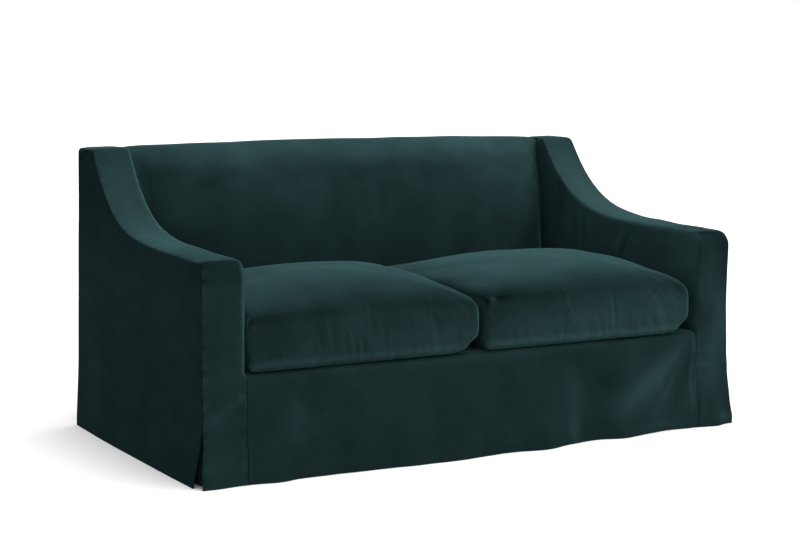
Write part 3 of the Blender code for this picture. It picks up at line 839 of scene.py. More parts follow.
def wander(points):
    """How the sewn cover drifts from its straight lines.

    Smooth waves that are the same for all panels, so that their seams stay together, a dent at
    the right arm's outer front corner, and the lean of the rear corners.
    """
    x, y, z = (points[..., k] for k in range(3))
    upwards = waves("wander_z", x, y) * rise(z, 0.02, 0.2)
    shift = WANDER * np.stack([waves("wander_x", y, z), waves("wander_y", x, z), upwards], axis=-1)
    crush = (x - HALF) ** 2 + (y - FRONT_Y) ** 2 + (z - ARM_HEIGHT) ** 2
    crush = NOSE_CRUSH * np.exp(-crush / NOSE_CRUSH_REACH ** 2)
    shift = shift + crush[..., None] * np.array(NOSE_CRUSH_WAY)
    rear = rise(np.abs(x), 0.5, 0.4) * rise(y, -0.30, 0.60)
    shift[..., 0] -= np.sign(x) * REAR_LEAN * rear * (2.0 * z / BACK_HEIGHT - 1.0)
    return shift


def sew(name, surface, facing):
    """One cut panel of velvet: its grid and its thickness to the inside."""
    points, nap = surface
    points = points + wander(points)
    kind = name.replace("velvet_", "").replace("_left", "").replace("_right", "")
    piece = add_grid(name, points, nap + PANEL_TONE_AND_PAINTED_LIGHT[kind], facing)
    thickness = piece.modifiers.new("cloth thickness", "SOLIDIFY")
    thickness.thickness = bpy.context.scene.slipcover_sizes.cloth
    thickness.offset = -1.0
    piece.data.materials.append(velvet(OUTER_SHEEN if kind in OUTER_PANELS else 1.0))
    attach(piece, "root")
    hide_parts(name.replace("velvet_", ""))


# ---- Velvet ----------------------------------------------------------------------------------
def velvet(sheen_share=1.0):
    """Short cotton pile: clouds and streaks of the pile's lie in its colour, with the panels'
    painted light and shade; sheen, and a fine pile bump.
    """
    name = "teal_velvet" if sheen_share == 1.0 else "teal_velvet_outer"
    if name in bpy.data.materials:
        return bpy.data.materials[name]
    finish = bpy.context.scene.slipcover_velvet
    material = bpy.data.materials.new(name)
    material.use_nodes = True
    nodes, links = material.node_tree.nodes, material.node_tree.links
    shader = nodes["Principled BSDF"]
    place = nodes.new("ShaderNodeTexCoord")

    def noise(scale, detail, stretch=(1.0, 1.0, 1.0)):
        """Noise between 0 and 1, in the object's own metres."""
        mapping = nodes.new("ShaderNodeMapping")
        mapping.inputs["Scale"].default_value = stretch
        texture = nodes.new("ShaderNodeTexNoise")
        texture.inputs["Scale"].default_value = scale
        texture.inputs["Detail"].default_value = detail
        links.new(place.outputs["Object"], mapping.inputs["Vector"])
        links.new(mapping.outputs["Vector"], texture.inputs["Vector"])
        return texture.outputs["Fac"]

    def mottle(level, texture, weight):
        """level * (1 + weight * (texture - 0.5))."""
        factor = nodes.new("ShaderNodeMath")
        factor.operation = "MULTIPLY_ADD"
        factor.inputs[1].default_value = weight
        factor.inputs[2].default_value = 1.0 - 0.5 * weight
        product = nodes.new("ShaderNodeMath")
        product.operation = "MULTIPLY"
        links.new(texture, factor.inputs[0])
        links.new(factor.outputs[0], product.inputs[0])
        links.new(level, product.inputs[1])
        return product.outputs[0]

    def relief(texture, strength, distance):
        """A bump node over the noise."""
        bump = nodes.new("ShaderNodeBump")
        bump.inputs["Strength"].default_value = strength
        bump.inputs["Distance"].default_value = distance
        links.new(texture, bump.inputs["Height"])
        return bump

    # The panels' tone attribute, which holds painted light and shade as well as the pile's tone.
    nap = nodes.new("ShaderNodeAttribute")
    nap.attribute_name = "nap"
    level = nap.outputs["Fac"]
    for scale, detail, stretch, share, setting in NAP_NOISE:
        level = mottle(level, noise(scale, detail, stretch), getattr(finish, setting) * share)
    mix = nodes.new("ShaderNodeMix")
    mix.data_type = "RGBA"
    mix.inputs["A"].default_value = (*finish.dark, 1.0)
    mix.inputs["B"].default_value = (*finish.light, 1.0)
    links.new(level, mix.inputs["Factor"])
    links.new(mix.outputs["Result"], shader.inputs["Base Color"])
    shader.inputs["Roughness"].default_value = 0.85
    shader.inputs["Specular IOR Level"].default_value = 0.0
    shader.inputs["Sheen Weight"].default_value = finish.sheen * sheen_share
    shader.inputs["Sheen Roughness"].default_value = finish.sheen_roughness
    shader.inputs["Sheen Tint"].default_value = (*SHEEN_TINT, 1.0)
    crush = relief(noise(CRUSH_NOISE, 3.0), CRUSH_STRENGTH, CRUSH_HEIGHT)
    pile = relief(noise(PILE_NOISE, 2.0), finish.pile, PILE_HEIGHT)
    links.new(crush.outputs["Normal"], pile.inputs["Normal"])
    links.new(pile.outputs["Normal"], shader.inputs["Normal"])
    return material


# ---- Panels ----------------------------------------------------------------------------------
def arm_band(side):
    """A strip carried along the arm's line; across it a flat crown between two rolled seams.

    point = line(t) + normal(t) * (crown + waves - roll), x from the outer to the inner seam.
    """
    sign = SIDES[side]
    line = resample(band_line(), BAND_LINE_STEP)
    normal = outward(line)
    far = lengths(line)[:, None]
    s, z = line[:, :1], line[:, 1:]
    q = edge_steps(1.0, BAND_EDGE, BAND_STEP)[None, :]
    outer = HALF + corner_shift("band", side, z) - CORNER_INSET
    square = 1.0 - rise(s, *BAND_FLATTENS)
    square = np.where(s > SLOPE_START, square, square * rise(z, DECK_HEIGHT - 0.010, 0.020))
    inner_flat = np.where(z < DECK_HEIGHT, seam_x(side, z) + SEAM, INNER_X + SEAM)
    inner = inner_flat + (INNER_X + INNER_INSET - inner_flat) * square
    x = outer + (inner - outer) * q
    out_distance, in_distance = outer - x, x - inner
    drop = seam_roll(out_distance, SEAM_ROLL) + square * seam_roll(in_distance, INNER_ROLL)
    drop = drop + (1 - square) * flat_seam(in_distance)
    dip_out, dip_in = seam_dip(out_distance), seam_dip(in_distance)
    drop = drop + dip_out + dip_in
    x = x - dip_out + dip_in * square
    across = HALF - x
    in_front = s < FRONT_SETBACK
    on_front = in_front * rise(z, NOSE_HEIGHT, -0.05)
    on_top = rise(z, NOSE_HEIGHT, ARM_NOSE) * rise(s, DEPTH, -2.0 * REAR_ROLL)
    swell = BAND_CROWN * on_top + BAND_FRONT_CROWN * on_front * rise(z, 0.2, 0.2)
    lift = swell * (1.0 - (2.0 * q - 1.0) ** 4)
    lift = lift + (1 - on_front) * waves("band_long", far, across, sign)
    lift = lift + waves("band_short", far, across, sign)
    pucker = waves("band_pucker", far, across, sign)
    pucker = pucker * np.exp(-np.minimum(out_distance, in_distance) / BAND_PUCKER_REACH)
    lift = lift + BAND_PUCKER * pucker - drop
    y = FRONT_Y + s + normal[:, :1] * lift - front_out(sign * x, z) * in_front
    points = grid_points(sign * x, y, z + normal[:, 1:] * lift)
    nap = patches(BAND_PATCHES[side], far, across) + in_front * front_tone(sign * x, z)
    # Painted highlight along the inner seam, where the cloth rounds away; on the right arm only
    # above its nose.
    rim = bell(in_distance, 0.0, BAND_RIM_HIGHLIGHT_WIDTH)
    if side == "right":
        rim = rim * rise(z, NOSE_HEIGHT, ARM_NOSE)
    nap = nap + square * (BAND_INNER_TONE * (q - 0.5) + BAND_RIM_HIGHLIGHT[side] * rim)
    # Painted light and shade on the puckers, and painted shade at the top front corner.
    nose = far[np.argmax(s > FRONT_SETBACK)]
    nap = nap + BAND_PUCKER_SHADING * pucker + BAND_NOSE_SHADE * bell(far, nose, BAND_NOSE_SHADE_WIDTH)
    return points, nap


def side_grid(inset, end, foot, step):
    """The (s, z) grid of an arm's side below its top line, and each point's way to its edge.

    Columns stand under the points of the top line, moved in by the corner's inset. Returns s, z
    and the distance to the top line or the front edge.
    """
    line = resample(top_line(), SIDE_LINE_STEP)
    edge = line - outward(line) * inset
    keep = edge[:, 0] < end
    edge, normal = edge[keep], outward(line)[keep]
    far = lengths(edge)
    crowded = np.flatnonzero((far < SIDE_CROWDED[0]) | (far > far[-1] - SIDE_CROWDED[1]))
    top = edge[np.unique(np.concatenate([crowded, np.arange(0, len(edge), step)]))][None]
    below = np.array(SIDE_BELOW)
    base = top[..., 1] - below[-1]
    body = np.linspace(0.0, 1.0, SIDE_ROWS)[:-1, None]
    z = np.vstack([foot + (base - foot) * body, top[..., 1] - below[::-1, None]])
    s = np.broadcast_to(top[..., 0], z.shape)
    points = np.stack([s, z], axis=-1).reshape(-1, 2)
    distance = np.empty(len(points))
    for part in np.array_split(np.arange(len(points)), 40):
        gap = points[part, None, :] - edge[None, :, :]
        nearest = np.argmin((gap ** 2).sum(axis=-1), axis=1)
        way = edge[nearest] - points[part]
        distance[part] = np.maximum(0.0, (way * normal[nearest]).sum(axis=1))
    return s, z, np.minimum(distance.reshape(z.shape), s - inset)


def outside_arm(side):
    """The side of the cover: a plane with its skirt spread at the hem and its seams rolled in.

    x = half width + spread(s, z) + creases - roll(distance to the seam).
    """
    sign = SIDES[side]
    s, z, distance = side_grid(CORNER_INSET, DEPTH - CORNER_INSET + 0.0001, 0.0, 3)
    distance = np.minimum(distance, np.maximum(0.0, DEPTH - CORNER_INSET - s))
    from_corner = np.clip(s / CORNER_REACH, 0.0, 1.0)
    belly = SIDE_BELLY * np.sin(math.pi * (1.0 - s / DEPTH) / 1.4)
    spread = (SIDE_FLARE + belly) * flare(z) * from_corner
    spread = spread + corner_shift("side", side, z) * (1.0 - from_corner)
    fall = SLIT_OPENING[side] * np.clip(1.0 - z / SLIT_HEIGHT, 0.0, 1.0) ** SLIT_POWER
    rows = OUTER_LEFT_CREASES if side == "left" else OUTER_RIGHT_CREASES
    uneven = waves("side_long", s, z, sign) + waves("side_short", s, z, sign)
    uneven = creases(rows, s, np.maximum(z, HEM_TURN)) + rise(distance, 0.0, 0.05) * uneven
    x = HALF + spread + uneven - seam_roll(distance, SEAM_ROLL) - seam_dip(distance)
    points = grid_points(sign * x, FRONT_Y + s + fall * (1.0 - from_corner), z)
    nap = waves("side_tone", s, z, sign) + waves("side_grain", s, z, sign)
    # Painted shade: the side darker high up.
    nap = nap + SIDE_FRONT_TONE * bell(s, 0.0, 0.10) + SIDE_TOP_SHADE * rise(z, 0.48, 0.26)
    return points, nap


def inside_arm(side):
    """The arm's inner face: a plane that swells a little, with gathers above the seat.

    x = inner plane - puff(s, z) - creases + roll(distance to the seam).
    """
    sign = SIDES[side]
    s, z, distance = side_grid(INNER_INSET, ARM_END, DECK_HEIGHT - ARM_TUCK, 4)
    share = np.clip((z - DECK_HEIGHT) / (z[-1:] - DECK_HEIGHT), 0.0, 1.0)
    puff = ARM_PUFF * np.sin(math.pi * share) * np.sin(math.pi * np.clip(s / ARM_PUFF_END, 0, 1))
    rows = INNER_LEFT_CREASES if side == "left" else INNER_RIGHT_CREASES
    folds = creases(rows, s, z)
    uneven = folds + rise(distance, 0.0, 0.04) * waves("inner_long", s, z, sign)
    x = INNER_X - puff - uneven + seam_roll(distance, INNER_ROLL) + seam_dip(distance)
    # Painted light and shade on the creases, and painted shade in the corner by the back and beside
    # the top seam.
    nap = waves("inner_tone", s, z, sign) + INNER_CREASE_SHADING * folds
    nap = nap + INNER_END_SHADE * bell(s, 0.84, 0.05) + INNER_SEAM_SHADE * bell(distance, 0.0, 0.006)
    return grid_points(sign * x, FRONT_Y + s, z), nap


def inside_back():
    """The padded back: a smooth section carried across, its ends turned in on a power curve."""
    roll = arc((DEPTH - REAR_ROLL, REAR_ROLL_HEIGHT), REAR_ROLL, 90, 0, 4)
    tail = np.vstack([roll, [[DEPTH, REAR_SEAM_HEIGHT + SEAM]]])
    span = BACK_HEIGHT - DECK_HEIGHT
    lift = REAR_CROWN * (tail[:, 1] - REAR_SEAM_HEIGHT) / (REAR_ROLL + REAR_DROP)
    climb = (tail[:, 1] - DECK_HEIGHT) / span
    tail_rows = np.stack([climb + lift / span, tail[:, 0], climb, tail[:, 0]], axis=1)
    section = spline(np.vstack([BACK_SECTION, tail_rows]), BACK_ROWS)
    middle_z, middle_s, end_z, end_s = (section[:, k:k + 1] for k in range(4))
    reach = INNER_X - SEAM
    x = edge_steps(2 * reach, BACK_TURN_IN, BACK_STEP)[None, :] - reach
    inward = (reach - np.abs(x)) / BACK_TURN_IN
    pad = 1.0 - np.clip(1.0 - inward, 0.0, None) ** PAD_POWER
    parabola = 1.0 - (x / reach) ** 2
    crown = parabola.clip(0.0) ** PAD_SPREAD
    crown = crown + (parabola - crown) * rise(middle_s, 0.930, 0.030)
    s = end_s + (middle_s - end_s) * pad
    z = DECK_HEIGHT + span * (end_z + (middle_z - end_z) * crown)
    face = rise(s, 0.890, -0.040)
    uneven = face * (creases(BACK_CREASES, x, z) + waves("back_long", x, z))
    uneven = uneven + waves("back_short", x, s + z)
    edge = np.minimum(reach - np.abs(x), 1.0)
    sink = rise(s, 0.885, 0.015) * (flat_seam(edge) + seam_dip(edge))
    low = np.maximum(0.0, z - REAR_SEAM_HEIGHT - SEAM)
    y = FRONT_Y + s - uneven - rise(s, 0.975, 0.005) * flat_seam(low)
    nap = patches(BACK_PATCHES, x, z) + creases(BACK_STROKES_AND_HIGHLIGHTS, x, z) + waves("back_tone", x, z)
    nap = nap + waves("back_streaks", x, z) * rise(z, 0.62, 0.15)
    # Painted light and shade: lighter towards the top and the right, darker low down, towards the
    # left and at the right end beside the arm.
    for way, start, ramp, tone in BACK_LIGHT_AND_SHADE_RAMPS:
        nap = nap + tone * rise(x if way == "x" else z, start, ramp)
    return grid_points(x, y, z - sink), nap


def outside_back():
    """The plain rear panel: a plane with three shallow waves at its hem."""
    reach = HALF - CORNER_INSET
    x = edge_steps(2 * reach, REAR_EDGE, REAR_STEP_X)[None, :] - reach
    top = REAR_SEAM_HEIGHT - SEAM
    z = edge_steps(top, REAR_EDGE, REAR_STEP_Z)[:, None]
    share = x / HALF
    wave = 1.0 - REAR_WAVE + REAR_WAVE * np.cos(3.0 * math.pi * share)
    side = reach - np.abs(x)
    drop = seam_roll(side, SEAM_ROLL) + seam_dip(side) + flat_seam(top - z)
    uneven = rise(side, 0.0, 0.05) * (waves("rear_long", x, z) + waves("rear_short", x, z))
    y = REAR_Y + REAR_FLARE * wave * flare(z) + uneven - drop
    return grid_points(x + share * SIDE_FLARE * flare(z), y, z), waves("rear_tone", x, z)


def front_panel():
    """From the floor to the seat rail: y = front plane - folds(x, z), then rolled onto the deck."""
    rail = arc((RAIL_ROLL, DECK_HEIGHT - RAIL_ROLL), RAIL_ROLL, 180, 90, 10)
    height = np.linspace(0.0, DECK_HEIGHT - RAIL_ROLL, FRONT_ROWS)[:-1]
    line = np.vstack([np.stack([0.0 * height, height], axis=1), rail,
                      [[RAIL_LAP * 0.75, DECK_HEIGHT], [RAIL_LAP, DECK_HEIGHT]]])
    s, z = line[:, :1], line[:, 1:]
    left, right = -seam_x("left", z) + SEAM, seam_x("right", z) - SEAM
    x = left + (right - left) * edge_steps(2.0, FRONT_EDGE, FRONT_STEP)[None, :] / 2.0
    side = np.minimum(x - left, right - x)
    drop = flat_seam(side) + seam_dip(side)
    over = rise(z, DECK_HEIGHT - RAIL_ROLL, RAIL_ROLL)
    y = FRONT_Y + s - (front_out(x, z) - drop) * (1.0 - over)
    return grid_points(x, y, z - drop * over), front_tone(x, z)


def deck():
    """The flat panel that the cushions lie on, slightly uneven between its seams."""
    reach = INNER_X - SEAM
    start, end = RAIL_LAP + SEAM, BACK_SECTION[0][3] + DECK_LAP
    x = np.linspace(-reach, reach, DECK_COLUMNS)[None, :]
    s = np.linspace(start, end, DECK_ROWS)[:, None]
    held = rise(np.abs(x), reach, -0.05) * rise(s, start, 0.05)
    sag = DECK_SAG * held * (1.0 + waves("deck", x, s))
    return grid_points(x, FRONT_Y + s, DECK_HEIGHT - sag), waves("deck_tone", x, s)


def corner_pleat(side):
    """The underlay behind an open corner: an L with a round bend, leaning in towards its hem."""
    rows = []
    for z in np.linspace(PLEAT_HEM, FLARE_HEIGHT, PLEAT_ROWS):
        lean = PLEAT_LEAN * (1.0 - (z - PLEAT_HEM) / (FLARE_HEIGHT - PLEAT_HEM))
        edge = CLOTH + SEAM + lean
        bend_at = edge + PLEAT_RADIUS
        plan = np.vstack([[[edge, PLEAT_REACH]], arc((bend_at, bend_at), PLEAT_RADIUS, 180, 270, 12),
                          [[PLEAT_REACH, edge]]])
        plan = resample(plan, 0.0042)
        plan = reread(plan, np.linspace(0.0, lengths(plan)[-1], PLEAT_COLUMNS))
        shift = corner_shift("band", side, z) * (1.0 - plan[:, 1] / CORNER_REACH)
        rows.append(grid_points(SIDES[side] * (HALF + shift - plan[:, 0]), FRONT_Y + plan[:, 1], z))
    return np.array(rows), np.zeros((len(rows), len(rows[0])))


def rounded_outline(half_x, half_y, radius):
    """Rounded rectangles, one row for each radius, with the points crowded along the front."""
    corners = ((1, 1, 0), (-1, 1, 90), (-1, -1, 180), (1, -1, 270))
    turn = np.radians(np.linspace(0.0, 90.0, 19))[None, :]
    arcs = []
    for sx, sy, start in corners:
        r = radius[:, None] * CUSHION_CORNERS[sx]
        arcs.append(np.stack([sx * (half_x - r) + r * np.cos(turn + math.radians(start)),
                              sy * (half_y - r) + r * np.sin(turn + math.radians(start))], axis=-1))
    parts = []
    for one, two, steps in zip(arcs, arcs[1:] + arcs[:1], CUSHION_STEPS):
        share = np.linspace(0.0, 1.0, steps + 1)[None, 1:-1, None]
        parts += [one, one[:, -1:] + (two[:, :1] - one[:, -1:]) * share]
    return np.concatenate(parts, axis=1)


def crown_fall(place, peak, powers):
    """1 at the peak, falling as a power to 0 at -1 and at 1, with another power on each side."""
    low = np.clip((peak - place) / (1.0 + peak), 0.0, 1.0) ** powers[0]
    high = np.clip((place - peak) / (1.0 - peak), 0.0, 1.0) ** powers[1]
    return 1.0 - np.where(place < peak, low, high)


def seat_cushion(side):
    """A closed ball of rings: each is the cushion's outline drawn in by the section's share.

    Height = section + crown share * crown * fall(a) * fall(b), with a and b the place in the plan
    from -1 to 1. Gathers and small puckers move the cover along its normals.
    """
    near, far_x = CUSHION_GAP[side], INNER_X - CUSHION_ARM_GAP[side]
    half_x, half_y = (far_x - near) / 2, (CUSHION_BACK - CUSHION_FRONT) / 2
    middle_x = SIDES[side] * (near + far_x) / 2
    middle_y = FRONT_Y + (CUSHION_BACK + CUSHION_FRONT) / 2
    section = spline(CUSHION_SECTION, CUSHION_ROWS)
    share = np.clip(section[:, 0:1], 0.0, 1.003)
    height, crowned = section[:, 1:2], section[:, 2:3]
    outline = rounded_outline(half_x, half_y, section[:, 3])
    a, b = share * outline[..., 0] / half_x, share * outline[..., 1] / half_y
    dome = crown_fall(a, CROWN_PEAK[0], CROWN_FALL_X) * crown_fall(b, CROWN_PEAK[1], CROWN_FALL_Y)
    foot = bell(height, 0.0, CUSHION_TUCK_HEIGHT)
    x = middle_x + a * half_x - CUSHION_TUCK * rise(a, 0.82, 0.18) * foot
    y = middle_y + b * half_y
    lift = CUSHION_LIFT * rise(a, 0.70, 0.28) * rise(b, -0.55, -0.40) * foot
    z = DECK_HEIGHT + CUSHION_REST + height + lift + crowned * CUSHION_CROWN * dome
    points = np.stack([x, y, z], axis=-1)
    normal = grid_normals(points)
    up = normal[..., 2]
    above = z - DECK_HEIGHT
    front = rise(-normal[..., 1], 0.2, 0.5)
    folds = front * creases(LEFT_GATHERS if side == "left" else RIGHT_GATHERS, x, z)
    puff = folds + CUSHION_LIP * front * bell(above, 0.014, 0.011)
    puff = puff + bell(above, 0.035, 0.030) * waves("cushion_foot", x - y, z)
    puff = puff + waves("cushion_long", x, y) + waves("cushion_short", x, y + z)
    points = points + normal * (puff * rise(above, 0.003, 0.012))[..., None]
    calm = (1.0 - FOLD_CALM_TOP * rise(up, 0.5, 0.4)) * rise(share, 0.0, 0.15)
    points = points + normal * (calm * filling_folds(points, normal))[..., None]
    # Painted light on the gathers' ridges and painted shade in their troughs.
    gather_shading = np.where(folds > 0.0, *GATHER_SHADING) * folds
    # Painted highlight along the foot of the front, where the cloth rounds under.
    rim = CUSHION_FOOT_HIGHLIGHT[side] * bell(above, 0.018, 0.014)
    nap = front * (patches(CUSHION_PATCHES[side], x, z) + gather_shading + rim)
    # Painted shade on the right cushion's top towards its left end, painted light where the top
    # faces up, and painted shade on the shoulder where it turns down to the front.
    nap = nap + CUSHION_NEAR_SHADE[side] * rise(up, 0.5, 0.3) * rise(a, -0.45, -0.45)
    set_back = rise(b, -0.92, CUSHION_TOP_LIGHT_SPREAD[side])
    nap = nap + CUSHION_TOP_LIGHT[side] * rise(up, 0.66, 0.34) * set_back
    nap = nap + CUSHION_SHOULDER_SHADE * bell(up, 0.60, 0.28)
    nap = nap + waves("cushion_tone", x, y + 0.6 * z) + PANEL_TONE_AND_PAINTED_LIGHT["seat_cushion"]
    return add_grid("filled_seat_cushion_" + side, points, nap, closed=True)


def filling_folds(points, normal):
    """Folds that the filling presses into a cushion's cover, from the cloth solver.

    A coarse copy of the grid, cut a little large and sewn to its own underside, is blown up
    without gravity. Movement along the normals, less its own mean over a hand's breadth, is
    carried back to the fine grid.
    """
    rows = np.arange(FOLD_FIRST_ROW, len(points) - 3, FOLD_ROW_STEP)
    columns = np.arange(0, points.shape[1], FOLD_COLUMN_STEP)
    start = points[rows][:, columns]
    across, around = start.shape[:2]
    faces = grid_faces(across, around, True).tolist()
    last = np.arange(around) + (across - 1) * around
    faces += [(a, b, across * around) for a, b in zip(last.tolist(), np.roll(last, -1).tolist())]
    mesh = bpy.data.meshes.new("filling")
    mesh.from_pydata(np.vstack([start.reshape(-1, 3), points[-1:, 0]]), [], faces)
    cover = bpy.data.objects.new("filling", mesh)
    scene = bpy.context.scene
    scene.collection.objects.link(cover)
    pinned = np.flatnonzero(start[..., 2].reshape(-1) < DECK_HEIGHT + FOLD_PIN_HEIGHT)
    cover.vertex_groups.new(name="sewn").add(pinned.tolist(), 1.0, "REPLACE")
    cloth = cover.modifiers.new("filling", "CLOTH")
    cloth.point_cache.frame_start, cloth.point_cache.frame_end = 1, FOLD_FRAMES
    for setting, value in FOLD_CLOTH.items():
        setattr(cloth.settings, setting, value)
    cloth.settings.effector_weights.gravity = 0.0
    cloth.collision_settings.use_collision = False
    cloth.collision_settings.use_self_collision = False
    for step in range(1, FOLD_FRAMES + 1):
        scene.frame_set(step)
    blown = cover.evaluated_get(bpy.context.evaluated_depsgraph_get()).data
    moved = np.empty(len(blown.vertices) * 3)
    blown.vertices.foreach_get("co", moved)
    moved = moved.reshape(-1, 3)[:-1].reshape(start.shape) - start
    bpy.data.objects.remove(cover)
    bpy.data.meshes.remove(mesh)
    scene.frame_set(1)
    out = (moved * normal[rows][:, columns]).sum(axis=-1)
    out = out - blurred(out, FOLD_BLUR)
    out = FOLD_REACH * np.tanh(out / FOLD_REACH)
    closed = np.append(columns, points.shape[1])
    fine_columns, fine_rows = np.arange(points.shape[1]), np.arange(len(points))
    wide = np.array([np.interp(fine_columns, closed, np.append(line, line[0])) for line in out])
    fine = np.array([np.interp(fine_rows, rows, line) for line in wide.T]).T
    return blurred(fine, 2)


def blurred(values, times):
    """A closed grid smoothed by 1-2-1 sums along both ways, so many times."""
    for _ in range(times):
        edged = np.pad(values, ((1, 1), (0, 0)), mode="edge")
        values = (edged[:-2] + 2.0 * values + edged[2:]) / 4.0
        values = (np.roll(values, 1, axis=1) + 2.0 * values + np.roll(values, -1, axis=1)) / 4.0
    return values


def grid_normals(points):
    """Unit normals of a closed grid: the cross product of its two differences."""
    around = np.roll(points, -1, axis=1) - np.roll(points, 1, axis=1)
    up = np.gradient(points, axis=0)
    normal = np.cross(around, up)
    normal[0], normal[-1] = (0.0, 0.0, -1.0), (0.0, 0.0, 1.0)
    return normal / np.maximum(1e-9, np.linalg.norm(normal, axis=-1))[..., None]


# ---- Settings --------------------------------------------------------------------------------
class SlipcoverSizes(bpy.types.PropertyGroup):
    """Sizes of the cloth."""
    cloth: bpy.props.FloatProperty(
        name="Cloth", description="Thickness of the velvet with its turnings",
        default=CLOTH, min=0.001, max=0.003, unit="LENGTH")


class SlipcoverVelvet(bpy.types.PropertyGroup):
    """Colours and finish of the velvet."""
    dark: bpy.props.FloatVectorProperty(
        name="Pile Away", description="Colour where the pile lies away from the light",
        default=VELVET_DARK, subtype="COLOR", min=0.0, max=1.0)
    light: bpy.props.FloatVectorProperty(
        name="Pile Towards", description="Colour where the pile lies towards the light",
        default=VELVET_LIGHT, subtype="COLOR", min=0.0, max=1.0)
    sheen: bpy.props.FloatProperty(
        name="Sheen", description="Strength of the velvet's sheen",
        default=0.15, min=0.0, max=1.0, subtype="FACTOR")
    sheen_roughness: bpy.props.FloatProperty(
        name="Sheen Roughness", description="How widely the sheen spreads",
        default=0.29, min=0.0, max=1.0, subtype="FACTOR")
    clouds: bpy.props.FloatProperty(
        name="Clouds", description="Difference in tone between brushed patches of the pile",
        default=0.36, min=0.0, max=2.0, subtype="FACTOR")
    grain: bpy.props.FloatProperty(
        name="Grain", description="Difference in tone between single tufts",
        default=0.30, min=0.0, max=2.0, subtype="FACTOR")
    pile: bpy.props.FloatProperty(
        name="Pile Relief", description="Strength of the pile's fine relief",
        default=0.35, min=0.0, max=1.0, subtype="FACTOR")


class SlipcoverStage(bpy.types.PropertyGroup):
    """Floor and light."""
    floor: bpy.props.FloatVectorProperty(
        name="Floor", description="Colour of the plain floor",
        default=(0.60, 0.60, 0.60), subtype="COLOR", min=0.0, max=1.0)
    overhead: bpy.props.FloatProperty(
        name="Overhead Light", description="Strength of the wide soft light above the front",
        default=5.0, min=0.0)
    overhead_spread: bpy.props.FloatProperty(
        name="Overhead Spread", description="Angle that the overhead light fills",
        default=math.radians(70.0), min=0.0, max=math.pi, subtype="ANGLE", unit="ROTATION")
    surroundings: bpy.props.FloatProperty(
        name="Surroundings", description="Brightness of the plain surroundings",
        default=1.0, min=0.0, subtype="FACTOR")


# ---- Operators -------------------------------------------------------------------------------
class SewPanels:
    """Sews one panel, or one on each side."""
    bl_options = {"REGISTER", "UNDO"}

    def execute(self, context):
        self.make()
        return {"FINISHED"}


class SLIPCOVER_OT_arm_bands(SewPanels, bpy.types.Operator):
    """Sews the long band over each arm, from the floor to the rear seam"""
    bl_idname = "slipcover.arm_bands"
    bl_label = "Arm Bands"

    def make(self):
        for side in SIDES:
            sew("velvet_arm_band_" + side, arm_band(side), (0, -0.5, 1))


class SLIPCOVER_OT_outside_arms(SewPanels, bpy.types.Operator):
    """Sews both sides of the cover"""
    bl_idname = "slipcover.outside_arms"
    bl_label = "Outside Arms"

    def make(self):
        for side, sign in SIDES.items():
            sew("velvet_outside_arm_" + side, outside_arm(side), (sign, 0, 0))


class SLIPCOVER_OT_inside_arms(SewPanels, bpy.types.Operator):
    """Sews the inner faces of the arms"""
    bl_idname = "slipcover.inside_arms"
    bl_label = "Inside Arms"

    def make(self):
        for side, sign in SIDES.items():
            sew("velvet_inside_arm_" + side, inside_arm(side), (-sign, 0, 0))


class SLIPCOVER_OT_inside_back(SewPanels, bpy.types.Operator):
    """Sews the padded back over the top to the rear seam"""
    bl_idname = "slipcover.inside_back"
    bl_label = "Inside Back"

    def make(self):
        sew("velvet_inside_back", inside_back(), (0, -1, 0.3))


class SLIPCOVER_OT_outside_back(SewPanels, bpy.types.Operator):
    """Sews the plain rear panel"""
    bl_idname = "slipcover.outside_back"
    bl_label = "Outside Back"

    def make(self):
        sew("velvet_outside_back", outside_back(), (0, 1, 0))


class SLIPCOVER_OT_front_panel(SewPanels, bpy.types.Operator):
    """Sews the front panel with its soft folds"""
    bl_idname = "slipcover.front_panel"
    bl_label = "Front Panel"

    def make(self):
        sew("velvet_front_panel", front_panel(), (0, -1, 0.05))


class SLIPCOVER_OT_deck(SewPanels, bpy.types.Operator):
    """Sews the deck under the cushions"""
    bl_idname = "slipcover.deck"
    bl_label = "Deck"

    def make(self):
        sew("velvet_deck", deck(), (0, 0, 1))


class SLIPCOVER_OT_corner_pleats(SewPanels, bpy.types.Operator):
    """Sews the underlay behind each open front corner"""
    bl_idname = "slipcover.corner_pleats"
    bl_label = "Corner Pleats"

    def make(self):
        for side, sign in SIDES.items():
            sew("velvet_pleat_" + side, corner_pleat(side), (sign, -1, 0))


class SLIPCOVER_OT_seat_cushions(SewPanels, bpy.types.Operator):
    """Fills and lays both seat cushions"""
    bl_idname = "slipcover.seat_cushions"
    bl_label = "Seat Cushions"

    def make(self):
        for side in SIDES:
            piece = seat_cushion(side)
            piece.data.materials.append(velvet())
            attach(piece, "root")
            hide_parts("seat_cushion_" + side)


class SLIPCOVER_OT_stage(bpy.types.Operator):
    """Lays the floor and sets the light and the camera"""
    bl_idname = "slipcover.stage"
    bl_label = "Stage"
    bl_options = {"REGISTER", "UNDO"}

    def execute(self, context):
        scene = context.scene
        settings = scene.slipcover_stage
        floor = add_floor(settings.floor)
        add_light("overhead", OVERHEAD_PLACE, settings.overhead, settings.overhead_spread)
        world = scene.world or bpy.data.worlds.new("surroundings")
        scene.world = world
        world.use_nodes = True
        background = world.node_tree.nodes["Background"]
        background.inputs["Color"].default_value = (1.0, 1.0, 1.0, 1.0)
        background.inputs["Strength"].default_value = settings.surroundings
        scene.view_settings.view_transform = "Standard"
        add_camera(scene)
        return {"FINISHED"}


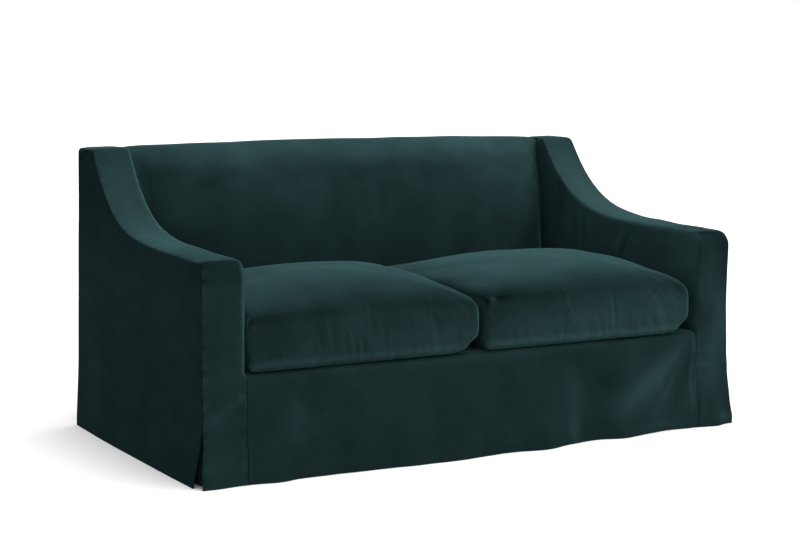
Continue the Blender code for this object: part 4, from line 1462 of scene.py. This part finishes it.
def add_floor(colour):
    """A plain pale floor, 40 m across, its surface just under the hem."""
    mesh = bpy.data.meshes.new("floor")
    corners = [(FLOOR_REACH * x, FLOOR_REACH * y, FLOOR_LEVEL)
               for x, y in ((-1, -1), (1, -1), (1, 1), (-1, 1))]
    mesh.from_pydata(corners, [], [(0, 1, 2, 3)])
    floor = bpy.data.objects.new("floor", mesh)
    material = bpy.data.materials.new("plain_floor")
    material.use_nodes = True
    shader = material.node_tree.nodes["Principled BSDF"]
    shader.inputs["Base Color"].default_value = (*colour, 1.0)
    shader.inputs["Roughness"].default_value = 0.9
    shader.inputs["Specular IOR Level"].default_value = 0.1
    mesh.materials.append(material)
    bpy.context.scene.collection.objects.link(floor)
    return floor


def add_light(name, place, strength, spread):
    """A wide soft light that comes from the place's direction."""
    data = bpy.data.lights.new(name, "SUN")
    data.energy = strength
    data.angle = spread
    light = bpy.data.objects.new(name, data)
    light.location = place
    light.rotation_euler = Vector(place).to_track_quat("Z", "Y").to_euler()
    bpy.context.scene.collection.objects.link(light)


def add_camera(scene):
    """A camera at the front left, tilted down a little, its frame shifted as a view camera's is."""
    data = bpy.data.cameras.new("camera")
    data.lens = CAMERA_LENS
    data.sensor_width = 36.0
    data.sensor_fit = "HORIZONTAL"
    data.shift_y = CAMERA_SHIFT
    camera = bpy.data.objects.new("camera", data)
    camera.location = CAMERA_PLACE
    camera.rotation_euler = (math.radians(90.0 - CAMERA_TILT), 0.0, math.radians(-CAMERA_TURN))
    scene.collection.objects.link(camera)
    scene.camera = camera


class SLIPCOVER_PT_pieces(bpy.types.Panel):
    """Lists the cover's pieces and settings"""
    bl_label = "Slipcover"
    bl_space_type = "VIEW_3D"
    bl_region_type = "UI"
    bl_category = "Slipcover"

    def draw(self, context):
        scene = context.scene
        groups = (scene.slipcover_sizes, scene.slipcover_velvet, scene.slipcover_stage)
        for group in groups:
            column = self.layout.column(align=True)
            for setting in group.__annotations__:
                column.prop(group, setting)
        for operator in OPERATORS:
            self.layout.operator(operator.bl_idname)


GROUPS = {
    "slipcover_sizes": SlipcoverSizes,
    "slipcover_velvet": SlipcoverVelvet,
    "slipcover_stage": SlipcoverStage,
}
OPERATORS = (
    SLIPCOVER_OT_arm_bands,
    SLIPCOVER_OT_outside_arms,
    SLIPCOVER_OT_inside_arms,
    SLIPCOVER_OT_inside_back,
    SLIPCOVER_OT_outside_back,
    SLIPCOVER_OT_front_panel,
    SLIPCOVER_OT_deck,
    SLIPCOVER_OT_corner_pleats,
    SLIPCOVER_OT_seat_cushions,
    SLIPCOVER_OT_stage,
)


def register():
    for cls in (*GROUPS.values(), *OPERATORS, SLIPCOVER_PT_pieces):
        bpy.utils.register_class(cls)
    for name, cls in GROUPS.items():
        setattr(bpy.types.Scene, name, bpy.props.PointerProperty(type=cls))


def unregister():
    for name in GROUPS:
        delattr(bpy.types.Scene, name)
    for cls in (SLIPCOVER_PT_pieces, *reversed(OPERATORS), *GROUPS.values()):
        bpy.utils.unregister_class(cls)


def main():
    register()
    bpy.ops.slipcover.arm_bands()
    bpy.ops.slipcover.outside_arms()
    bpy.ops.slipcover.inside_arms()
    bpy.ops.slipcover.inside_back()
    bpy.ops.slipcover.outside_back()
    bpy.ops.slipcover.front_panel()
    bpy.ops.slipcover.deck()
    bpy.ops.slipcover.corner_pleats()
    bpy.ops.slipcover.seat_cushions()
    bpy.ops.slipcover.stage()


if __name__ == "__main__":
    main()
